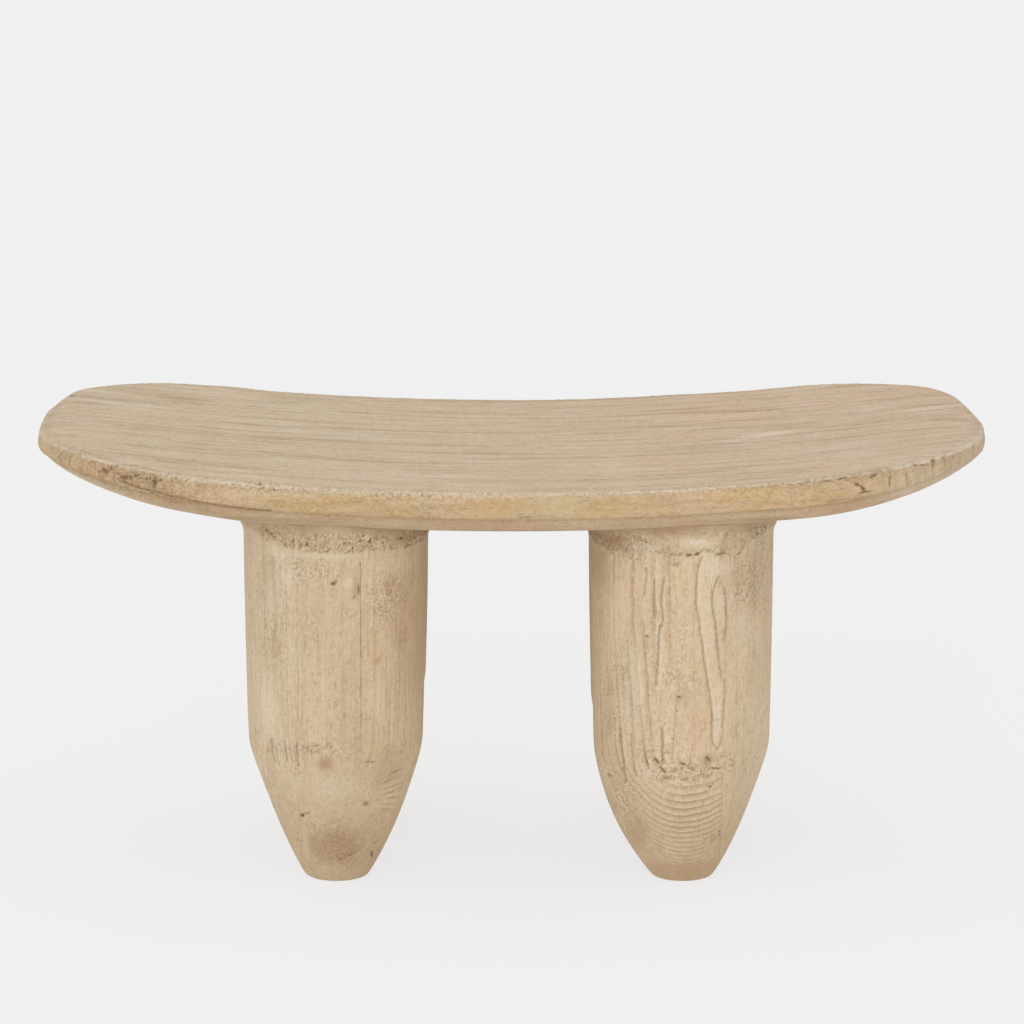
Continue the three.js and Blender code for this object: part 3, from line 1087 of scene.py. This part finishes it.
FRONT_RIGHT = LegStyle(
    piece="front_right_leg",
    node="leg_front_right",
    knee_radius=91.8 * MM,
    knee_slope=0.15,
    foot_radius=35 * MM,
    foot_trim=2.4 * MM,
    foot_edge=1.8 * MM,
    cove_flare=5 * MM,
    knee_height=144 * MM,
    sway_foot=1.6 * MM,
    sway_mid=-3.3 * MM,
    columns=440,
    fine=True,
    salt=200,
    wander=0.6,
    boards=(
        Board(44.6 * MM, -5 * MM, -8 * MM, 0.06, 2.7 * MM, 0.85, 0.7 * MM, (1.065, 1.045, 1.03), 0.22, 0),
        Board(1, 0, 0.7, -0.1, 3.4 * MM, 0.15, 0.08 * MM, (1.025, 1.02, 1.02)),
    ),
    neck_line=route(
        (-90, 366), (-54, 369), (-10, 365), (5, 365), (21, 369), (36, 364), (54, 360), (70, 374), (90, 377)
    ),
    marks=dents(
        (-9, 356, 4.2, 3.6, 0, 0.5, 0.6),
        (-38.2, 278, 2, 1.6, 0, 0.7, 0.85),
        (53, 319.5, 2.4, 1.8, 40, 0.6, 0.8),
        (-5.1, 216, 2.6, 2, 0, 0.6, 0.85),
        (-7, 201, 2, 1.8, 0, 0.4, 0.6),
        (-28.3, 146, 5, 1.8, -55, 1.0, 0.9),
        (-21.5, 136.5, 6, 1.7, -48, 1.0, 0.85),
        (-18, 127.5, 4, 2, 0, 0.5, 0.6),
        (-1, 144.5, 5.5, 1.9, -25, 1.1, 0.95),
        (10, 137, 5, 1.4, -28, 0.8, 0.7),
        (25.4, 148.5, 4, 2, -35, 1.0, 0.85),
        (28, 116.5, 3, 1.8, 0, 0.6, 0.7),
        (0, 126, 4, 1.6, 0, 0.6, 0.6),
        (33, 137, 9, 1.6, -6, 0.7, 0.6),
        (-38, 143, 6, 1.3, -65, 0.8, 0.65),
        (31, 49.5, 3.5, 2, 40, 0.4, 0.5),
        (39, 58, 6, 1.4, 88, 0.5, 0.55),
        (-76, 119, 3, 2.6, 0, 0.5, 0.6),
        (5, 365, 4, 1.6, 0, 0.8, 0.8),
        (12.5, 366, 3, 1.8, 0, 0.8, 0.8),
        (36, 364.5, 6, 1.4, 5, 0.7, 0.75),
        (-4, 366, 3, 1.4, 0, 0.7, 0.6),
    ),
    lines=(
        check(
            1.0, 0.75, 0.65, 0.8, (17.7, 363), (13.6, 351), (12.2, 335), (11.8, 319), (12.9, 306), (15, 298),
            (16.1, 285), (18.3, 274), (20.5, 255), (22.7, 239), (25.9, 222), (28.1, 206), (29.3, 190),
            (28.9, 174), (30.5, 164), (34.8, 159),
        ),
        check(
            1.2, 0.6, 0.65, 0.3, (35.4, 342), (32.4, 336), (29.3, 326.5), (28.4, 316), (29.5, 305),
            (31.6, 294.5), (33.9, 275), (35, 259), (37.2, 245), (39.4, 234), (42.6, 231),
        ),
        check(
            1.2, 0.5, 0.55, 0.2, (35.4, 342), (38.6, 333), (41.8, 325), (42.9, 317), (43, 306), (43.6, 290),
            (41.2, 274),
        ),
        check(
            1.1, 0.5, 0.5, 0.3, (42.6, 228), (41.7, 210), (40.8, 194), (39.9, 173), (37.9, 162), (34.8, 159)
        ),
        check(1.1, 0.8, 0.65, 0.6, (-21.2, 341), (-23.2, 329), (-24.1, 313), (-22, 299), (-24, 290)),
        check(1.1, 0.7, 0.55, 0.7, (-25.5, 292), (-26.4, 270), (-27.8, 249), (-28.8, 228)),
        check(1.1, 0.6, 0.6, 0.3, (-31.4, 338), (-31.8, 318), (-31.2, 300)),
        check(1.4, 0.8, 0.8, 0.3, (-22.8, 182), (-21.9, 161), (-21.1, 144)),
        check(1.0, 0.4, 0.45, 0.2, (-7.5, 214), (-9, 191), (-10.9, 164), (-11.8, 143)),
        check(1.3, 0.7, 0.65, 0.4, (-66, 175), (-65, 162), (-63.1, 147), (-61, 130), (-59.5, 117)),
        check(1.2, 0.6, 0.55, 0.4, (-54.5, 172), (-54, 160), (-51.9, 142), (-48.7, 127)),
        check(1.2, 0.6, 0.55, 0.3, (-40.5, 158), (-39.6, 149), (-36.5, 138)),
        check(1.2, 0.5, 0.5, 0.3, (-39.5, 352), (-40, 338), (-41, 322)),
    ),
    # Pale patches; (16, 377) is a painted sheen on the smooth neck, and the band at (24, 290) right of the
    # long curve and the streak at (-28.5, 280) are painted highlights of raised edges
    pale=patches(
        (16, 377, 15, 4.5, 0.95, -8),
        (32, 349, 14, 12, 0.75),
        (-42, 372, 15, 5, 0.7),
        (24, 290, 60, 6, 0.5, 97),
        (32, 220, 50, 4, 0.5, 96),
        (36, 312, 5, 20, 0.6),
        (35, 190, 5, 24, 0.6),
        (-28.5, 280, 1.6, 16, 0.85),
        (-37, 131, 8, 9, 0.5),
        (60, 288, 9, 18, 0.45),
        (-48, 230, 10, 50, 0.55),
        (-68, 290, 10, 60, 0.4),
        (-58, 190, 16, 30, 0.4),
    ),
    brown=patches(
        (-76, 375, 25, 10, 1.0),
        (78, 384, 15, 5, 0.8),
        (0, 10, 50, 22, 0.85),
        (-44, 55, 14, 30, 0.55),
        (-76, 215, 5, 12, 0.4),
        (-74, 180, 6, 14, 0.45),
        (-17, 128, 7, 3, 0.6),
        (26, 149, 7, 5, 0.6),
        (-3, 216, 8, 7, 0.4),
        (33, 53, 6, 8, 0.55),
        (54, 340, 10, 16, 0.35),
        (72, 330, 6, 30, 0.4),
        (-85, 340, 14, 20, 0.4),
    ),
    worn=patches(
        (14, 300, 32, 75, 0.95),
        (4, 195, 30, 45, 0.85),
        (8, 378, 36, 9, 0.95),
        (-78, 60, 30, 50, 0.9),
        (-38, 130, 8, 8, 0.8),
        (0, 4, 50, 10, 0.9),
    ),
    bold=patches((10, 84, 44, 40, 1.0), (10, 40, 36, 24, 0.55), (-40, 250, 14, 80, 0.25)),
    granular=patches(
        (-68, 75, 24, 60, 0.7),
        (70, 330, 26, 34, 0.8),
        (5, 134, 42, 16, 0.8),
        (-60, 366, 30, 12, 0.8),
        (-38, 130, 10, 10, 0.6),
        (-70, 200, 20, 60, 0.45),
        (-20, 250, 30, 80, 0.35),
    ),
)


def plainer(style, **changes):
    """The style of a leg that is turned like another one, without its marks and less fine."""
    bare = ("neck_line", "marks", "lines", "pale", "brown", "worn", "bold", "granular")
    return style._replace(columns=320, fine=False, wander=0.9, **dict.fromkeys(bare, ()), **changes)


BACK_LEFT = plainer(
    FRONT_LEFT,
    piece="back_left_leg",
    node="leg_back_left",
    knee_height=154 * MM,
    sway_foot=-0.8 * MM,
    sway_mid=0.6 * MM,
    salt=300,
    boards=(
        Board(-22 * MM, 0, -0.5, -0.1, 3.3 * MM, 0.4, 0.18 * MM, (1.0, 1.0, 1.0), 0.5, 0.1),
        Board(46 * MM, 0, 0.01, -0.08, 2.6 * MM, 0.7, 0.4 * MM, (1.01, 1.01, 1.01), 0.5, 0),
        Board(1, 0, 0.6, 0.1, 3.2 * MM, 0.35, 0.15 * MM, (0.97, 0.96, 0.94)),
    ),
)
BACK_RIGHT = plainer(
    FRONT_RIGHT,
    piece="back_right_leg",
    node="leg_back_right",
    knee_height=131 * MM,
    sway_foot=0.9 * MM,
    sway_mid=0.5 * MM,
    salt=400,
    boards=(
        Board(-31 * MM, 0, 0.02, -0.07, 2.5 * MM, 0.6, 0.35 * MM, (0.99, 0.99, 0.99), 0.6, 0),
        Board(33 * MM, 0, 0.6, 0.0, 3.4 * MM, 0.3, 0.12 * MM, (1.02, 1.02, 1.02), 0.5, 0.12),
        Board(1, 0, -0.5, 0.2, 3.0 * MM, 0.4, 0.2 * MM, (0.97, 0.97, 0.96)),
    ),
)
LEG_STYLES = (FRONT_LEFT, FRONT_RIGHT, BACK_LEFT, BACK_RIGHT)


# Shader graph


class Wire:
    """An output socket. Python's operators on it add Math nodes."""

    def __init__(self, graph, socket):
        self.graph = graph
        self.socket = socket

    def math(self, operation, *others):
        """A Math node of this value and any others."""
        return self.graph.add("ShaderNodeMath", {"operation": operation}, dict(enumerate((self, *others))))

    def __add__(self, other):
        return self.math("ADD", other)

    def __sub__(self, other):
        return self.math("SUBTRACT", other)

    def __rsub__(self, other):
        return self.graph.add("ShaderNodeMath", {"operation": "SUBTRACT"}, {0: other, 1: self})

    def __mul__(self, other):
        return self.math("MULTIPLY", other)

    def __truediv__(self, other):
        return self.math("DIVIDE", other)

    def __gt__(self, other):
        return self.math("GREATER_THAN", other)

    def __abs__(self):
        return self.math("ABSOLUTE")

    __radd__ = __add__
    __rmul__ = __mul__

    def hypot(self, other):
        """The length of a slope that runs this far and rises as far as the other."""
        return (self * self + other * other).math("SQRT")

    def step(self, low, high):
        """Rises smoothly from 0 at low to 1 at high."""
        inputs = {"Value": self, "From Min": low, "From Max": high}
        return self.graph.add("ShaderNodeMapRange", {"interpolation_type": "SMOOTHSTEP"}, inputs)


class Graph:
    """The node tree of one material."""

    def __init__(self, name):
        self.material = bpy.data.materials.new(name)
        self.material.use_nodes = True
        self.tree = self.material.node_tree
        self.tree.nodes.clear()

    def add(self, kind, settings=None, inputs=None, output=0):
        """Adds a node: its settings first, then the values or links of its sockets."""
        node = self.tree.nodes.new(kind)
        for name, value in (settings or {}).items():
            setattr(node, name, value)
        for name, value in (inputs or {}).items():
            if isinstance(value, Wire):
                self.tree.links.new(value.socket, node.inputs[name])
            else:
                node.inputs[name].default_value = value
        return Wire(self, node.outputs[output]) if node.outputs else None

    def attribute(self, name):
        """Numbers kept at the mesh's points."""
        return self.add("ShaderNodeAttribute", {"attribute_name": name}, output="Fac")

    def place(self):
        """The three coordinates of the surface."""
        place = self.add("ShaderNodeTexCoord", output="Object")
        return tuple(self.add("ShaderNodeSeparateXYZ", inputs={0: place}, output=axis) for axis in range(3))

    def noise(self, x, y, z, detail=2.0, rough=0.5):
        """Noise from 0 to 1 over three scaled coordinates."""
        vector = self.add("ShaderNodeCombineXYZ", inputs={0: x, 1: y, 2: z})
        inputs = {"Vector": vector, "Scale": 1.0, "Detail": detail, "Roughness": rough}
        return self.add("ShaderNodeTexNoise", {"noise_dimensions": "3D"}, inputs)

    def blend(self, share, first, second, way="MIX"):
        """Mixes two colours."""
        settings = {"data_type": "RGBA", "blend_type": way, "clamp_factor": True}
        return self.add("ShaderNodeMix", settings, {0: share, 6: first, 7: second}, 2)

    def layers(self, colour, *rows):
        """A colour under others, from rows of a share and a colour."""
        for share, over in rows:
            colour = self.blend(share, colour, over)
        return colour

    def surface(self, colour, height):
        """A dry, matt surface with a little bump, as the material's output."""
        bump = {"Strength": 1.0, "Distance": BUMP_HEIGHT, "Height": height}
        inputs = {
            "Base Color": colour,
            "Roughness": WOOD_ROUGHNESS,
            "Normal": self.add("ShaderNodeBump", inputs=bump),
            "Specular IOR Level": 0.25,
        }
        return self.finish(self.add("ShaderNodeBsdfPrincipled", inputs=inputs))

    def finish(self, shader):
        """The material, once a shader feeds its output."""
        self.add("ShaderNodeOutputMaterial", inputs={"Surface": shader})
        return self.material


def wood(graph, along, side, across, growth, lines, tone, streaks, streak_share, finish):
    """Bleached wood: ring lines, fibres, pores, blotches, chalk in the open grain and dirt in the dents,
    with painted shade in hollows and painted highlights on ring crests.
    """
    part = growth.math("FRACT")
    late = part.step(0.3, 0.88) * (1 - part.step(0.93, 1.0))
    fibre = graph.noise(side * 900, across * 900, along * 30, 3.0, 0.6)
    streak = graph.noise(side * streaks, across * streaks, along * 5, 4.0, 0.6)
    blotch = graph.noise(side * 30, across * 30, along * 14, 3.0, 0.55)
    drift = graph.noise(side * 12 + 7, across * 12, along * 9, 2.0)
    speck = graph.noise(side * 420, across * 420, along * 260, 2.0, 0.55)
    coarse_speck = graph.noise(side * 210 + 3, across * 210, along * 150, 2.0, 0.5)
    pore = graph.noise(side * 1100, across * 1100, along * 90, 1.0).step(0.62, 0.75)
    mottle = graph.noise(side * 130 + 11, across * 130, along * 14, 2.0)
    grit = graph.noise(side * 360, across * 360 + 5, along * 330, 3.0, 0.6)
    rough = graph.attribute("rough")
    dark_grit = grit.step(0.52, 0.64) * rough
    light_grit = (1 - grit).step(0.52, 0.64) * rough
    figure = graph.attribute("figure")
    hollow = graph.attribute("hollow")
    stain_and_shade = graph.attribute("stain_and_shade")
    crease = graph.attribute("crease")
    ragged = graph.noise(side * 420, across * 420, along * 300 + 5, 2.0)
    dark_marks = (stain_and_shade + (ragged - 0.5) * 0.9 * (stain_and_shade > 0.02)).step(0.2, 0.85)

    tint = graph.blend((drift + mottle).step(0.75, 1.25), finish.rosy, finish.green)
    colour = graph.blend((blotch - 0.28) * 1.5, finish.pale, finish.tan)
    colour = graph.blend(1.0, colour, tint, "MULTIPLY")
    # A painted highlight on each ring's raised crest, where the early wood is also paler
    crest = (1 - part.step(0.1, 0.35)) * lines * figure
    ring_line = late * lines * figure
    colour = graph.layers(
        colour,
        (crest * 0.5, finish.bleach),
        (ring_line, finish.line),
        (streak.step(0.5, 0.75) * streak_share, finish.line),
        ((1 - streak).step(0.54, 0.8) * streak_share, finish.bleach),
        (coarse_speck.step(0.53, 0.72) * 0.22, finish.line),
        ((1 - coarse_speck).step(0.55, 0.75) * 0.25, finish.bleach),
        (fibre.step(0.5, 0.75) * 0.25, finish.line),
        (speck.step(0.54, 0.75) * 0.28, finish.bleach),
        ((1 - speck).step(0.56, 0.75) * 0.28, finish.line),
        (pore * 0.35, finish.dirt_and_shade),
        (dark_grit * 0.6, finish.line),
        (light_grit * 0.5, finish.bleach),
    )
    colour = graph.layers(
        graph.blend(1.0, colour, tone, "MULTIPLY"),
        # Painted shade: the hollows of the relief are darkened
        (hollow * 0.45, finish.line),
        # Brown: real stains, with painted shade on downward faces, below the seat's step and under the seat
        (graph.attribute("brown") * (0.5 + blotch * 0.5), finish.brown),
        # Bloom and highlight: scuffs, chalk and pale patches, with painted highlights and sheen on edges,
        # chips and beside lines
        (graph.attribute("bloom_and_highlight") * (0.3 + speck * 0.7), finish.bleach),
        # Crease: checks, ring edges and glue lines, with the painted shadow line along the seat's small step
        (crease * 0.85, finish.crease),
        # Dark marks: checks, holes, knots and dirt, with the painted shade in the necks' deep cuts
        (dark_marks * 0.85, finish.dirt_and_shade),
    )
    height = fibre * 0.4 + speck * 0.4 + coarse_speck * 0.5 - ring_line * 0.5 - pore * 0.5
    return colour, height - dark_marks - dark_grit * 1.2 - crease


def seat_finish(finish):
    """Bleached wood whose grain runs along the seat, yellower on its flanks."""
    graph = Graph("bleached_seat_wood")
    x, y, z = graph.place()
    growth = (y - SEAT_HEART_Y).hypot(z - SEAT_HEART_Z) / SEAT_RING + graph.attribute("wander")
    patch = graph.noise(x * 18, y * 18, z * 60, 3.0, 0.6)
    amber = graph.blend(patch.step(0.48, 0.62), finish.flank_tone, finish.amber_tone)
    top = graph.blend(x.step(-0.3, 0.3), finish.left_tone, finish.right_tone)
    tone = graph.blend(graph.attribute("flank"), top, amber)
    colour, height = wood(graph, x, y, z, growth, 1.0, tone, 80, 0.6, finish)
    return graph.surface(colour, height)


def leg_finish(finish, style, middle_x, middle_y):
    """Bleached wood whose grain runs up the leg, board by board."""
    graph = Graph("bleached_" + style.piece)
    x, y, z = graph.place()
    x = x - middle_x
    y = y - middle_y
    wander = graph.attribute("wander")
    growth = lines = tone = before = None
    seams = 0.0
    for board in style.boards:
        own = (x - board.heart_x).hypot(y - board.heart_y) / board.ring + wander
        own_tone = (*board.tone, 1.0)
        if before is None:
            growth, lines, tone = own, board.lines, own_tone
        else:
            beyond = x - before.edge - before.lean * (1 - z / DISH_FLOOR)
            past = beyond > 0.0
            growth = growth * (1 - past) + own * past
            lines = past * (board.lines - before.lines) + lines
            tone = graph.blend(past, tone, own_tone)
            seam = before.seam * (1 - abs(beyond).step(0.3 * MM, 0.9 * MM))
            seams = seams + seam * z.step(before.seam_end - 0.02, before.seam_end + 0.02)
        before = board
    colour, height = wood(graph, z, x, y, growth, lines, tone, 150, 0.28, finish)
    broken = graph.noise(x * 40, y * 40, z * 40, 2.0).step(0.35, 0.6)
    seams = seams * (0.3 + broken * 0.7) * (1 - z.step(SEAM_TOP - 8 * MM, SEAM_TOP))
    colour = graph.blend(seams, colour, finish.crease)
    return graph.surface(colour, height - seams * 1.5)


# Stage

KEY_PLACE = (-1.1, -5.6, 3.0)
KEY_TARGET = (0, 0, 0.3)
KEY_SIZE = 3.0
KEY_COLOUR = (1.0, 0.985, 0.965)


def plain_material(name, colour, glow):
    """A plain matt material that gives a little light of its own."""
    graph = Graph(name)
    inputs = {
        "Base Color": colour,
        "Roughness": 1.0,
        "Specular IOR Level": 0.0,
        "Emission Color": (1.0, 1.0, 1.0, 1.0),
        "Emission Strength": glow,
    }
    return graph.finish(graph.add("ShaderNodeBsdfPrincipled", inputs=inputs))


def aimed_light(name, place, target, size, power, colour):
    """A square soft box that faces its target."""
    lamp = bpy.data.lights.new(name, "AREA")
    lamp.size = size
    lamp.energy = power
    lamp.color = colour
    light = bpy.data.objects.new(name, lamp)
    light.location = place
    light.rotation_euler = (Vector(target) - Vector(place)).to_track_quat("-Z", "Y").to_euler()
    bpy.context.scene.collection.objects.link(light)


# Settings


def a_number(name, description, default, **kind):
    """A number that a user would change."""
    return bpy.props.FloatProperty(name=name, description=description, default=default, **kind)


def a_length(name, description, default):
    """A length that a user would change."""
    return a_number(name, description, default, unit="LENGTH", precision=4)


def a_colour(name, description, *default):
    """A colour that a user would change."""
    return bpy.props.FloatVectorProperty(
        name=name, description=description, default=(*default, 1.0), subtype="COLOR", size=4, min=0, max=2
    )


class SeatSettings(bpy.types.PropertyGroup):
    """Sizes of the seat slab's wear."""

    arris: a_length("Arris radius", "Radius of the upper edge where it is neither worn nor crisp", 6.5 * MM)
    groove: a_length("Groove depth", "Depth of the brushed grain of the top", 0.4 * MM)


class FinishSettings(bpy.types.PropertyGroup):
    """Colours of the bleached wood, some of which also paint its shade and highlights."""

    pale: a_colour("Pale wood", "Lighter ground of the wood", 0.64, 0.51, 0.35)
    tan: a_colour("Tan wood", "Darker ground of the wood", 0.55, 0.415, 0.265)
    # Also paints the shade in the hollows of the relief
    line: a_colour("Ring line", "Late wood lines", 0.33, 0.215, 0.115)
    # Also paints the highlights on edges, ring crests and chips, and beside long lines
    bleach: a_colour("Bleach", "Chalky residue in the open grain", 0.73, 0.635, 0.5)
    # Also paints the shade in the deep cuts of the legs' necks
    dirt_and_shade: a_colour("Dirt", "Dark checks, holes and knots", 0.17, 0.1, 0.055)
    # Also paints the shadow line along the seat's small step
    crease: a_colour("Crease", "Long checks, ring edges and glue lines", 0.21, 0.13, 0.07)
    # Also paints the shade on downward faces, below the seat's step and under the seat
    brown: a_colour("Brown", "Soft brown stains", 0.36, 0.22, 0.115)
    rosy: a_colour("Rosy tint", "Where the wood leans to pink", 1.022, 0.989, 0.985)
    green: a_colour("Green tint", "Where the wood leans to green", 0.988, 1.006, 0.985)
    left_tone: a_colour("Left tone", "Tint of the top's left half", 0.99, 1.02, 1.06)
    right_tone: a_colour("Right tone", "Tint of the top's right half", 1.01, 0.99, 1.045)
    flank_tone: a_colour("Flank tone", "Tint of the seat's rim", 0.965, 0.915, 0.815)
    amber_tone: a_colour("Amber tone", "Tint of the yellower patches on the seat's rim", 0.96, 0.865, 0.67)


class StageSettings(bpy.types.PropertyGroup):
    """Floor, light and camera."""

    floor_size: a_length("Floor size", "Side of the square floor", 40.0)
    floor_colour: a_colour("Floor colour", "Colour of the floor", 0.16, 0.16, 0.16)
    floor_glow: a_number("Floor glow", "Light that the floor gives of its own", 0.72)
    sky: a_number("Sky", "Strength of the even light from all round", 0.9)
    key: a_number("Key", "Power of the soft box in front, in watts", 85.0)
    camera_distance: a_length(
        "Camera distance", "Distance of the camera in front of the middle of the seat", 6.65
    )
    camera_height: a_length("Camera height", "Height of the camera above the floor", 1.90)
    camera_pitch: a_number(
        "Camera pitch", "How far the camera looks down", math.radians(13.015), unit="ROTATION"
    )
    lens: a_number("Lens", "Focal length in millimetres", 226.78)


# Operators


class STOOL_OT_seat(bpy.types.Operator):
    """Build the dished seat slab"""

    bl_idname = "stool.seat"
    bl_label = "Seat"

    def execute(self, context):
        build_seat(context.scene.stool_seat, context.scene.stool_finish)
        return {"FINISHED"}


class STOOL_OT_legs(bpy.types.Operator):
    """Build the four turned legs"""

    bl_idname = "stool.legs"
    bl_label = "Legs"

    def execute(self, context):
        for style in LEG_STYLES:
            build_leg(style, context.scene.stool_finish)
        return {"FINISHED"}


class STOOL_OT_stage(bpy.types.Operator):
    """Set up the floor, the soft light and the camera"""

    bl_idname = "stool.stage"
    bl_label = "Stage"

    def execute(self, context):
        stage = context.scene.stool_stage
        half = stage.floor_size / 2
        data = bpy.data.meshes.new("floor")
        corners = [(-half, -half, 0), (half, -half, 0), (half, half, 0), (-half, half, 0)]
        data.from_pydata(corners, [], [(0, 1, 2, 3)])
        data.materials.append(plain_material("pale_floor", stage.floor_colour, stage.floor_glow))
        floor = bpy.data.objects.new("floor", data)
        context.scene.collection.objects.link(floor)

        world = bpy.data.worlds.new("soft_sky")
        world.use_nodes = True
        background = world.node_tree.nodes["Background"]
        background.inputs["Color"].default_value = (1.0, 1.0, 1.0, 1.0)
        background.inputs["Strength"].default_value = stage.sky
        context.scene.world = world
        aimed_light("key_box", KEY_PLACE, KEY_TARGET, KEY_SIZE, stage.key, KEY_COLOUR)

        lens = bpy.data.cameras.new("camera")
        lens.lens = stage.lens
        lens.sensor_width = 36
        camera = bpy.data.objects.new("camera", lens)
        camera.location = (0, -stage.camera_distance, stage.camera_height)
        camera.rotation_euler = (math.pi / 2 - stage.camera_pitch, 0, 0)
        context.scene.collection.objects.link(camera)
        context.scene.camera = camera
        context.scene.view_settings.view_transform = "Standard"
        return {"FINISHED"}


class STOOL_PT_panel(bpy.types.Panel):
    """Lists the stool's builders and settings"""

    bl_label = "Stool"
    bl_idname = "STOOL_PT_panel"
    bl_space_type = "VIEW_3D"
    bl_region_type = "UI"
    bl_category = "Stool"

    def draw(self, context):
        for operator in OPERATORS:
            self.layout.operator(operator.bl_idname)
        for name, kind in GROUPS.items():
            box = self.layout.box()
            for setting in kind.__annotations__:
                box.prop(getattr(context.scene, name), setting)


OPERATORS = (STOOL_OT_seat, STOOL_OT_legs, STOOL_OT_stage)
GROUPS = {"stool_seat": SeatSettings, "stool_finish": FinishSettings, "stool_stage": StageSettings}


def register():
    for name, group in GROUPS.items():
        bpy.utils.register_class(group)
        setattr(bpy.types.Scene, name, bpy.props.PointerProperty(type=group))
    for kind in (*OPERATORS, STOOL_PT_panel):
        bpy.utils.register_class(kind)


def unregister():
    for kind in (STOOL_PT_panel, *OPERATORS):
        bpy.utils.unregister_class(kind)
    for name, group in GROUPS.items():
        delattr(bpy.types.Scene, name)
        bpy.utils.unregister_class(group)


def main():
    """Builds the stage and the stool."""
    register()
    bpy.ops.stool.stage()
    bpy.ops.stool.seat()
    bpy.ops.stool.legs()


if __name__ == "__main__":
    main()
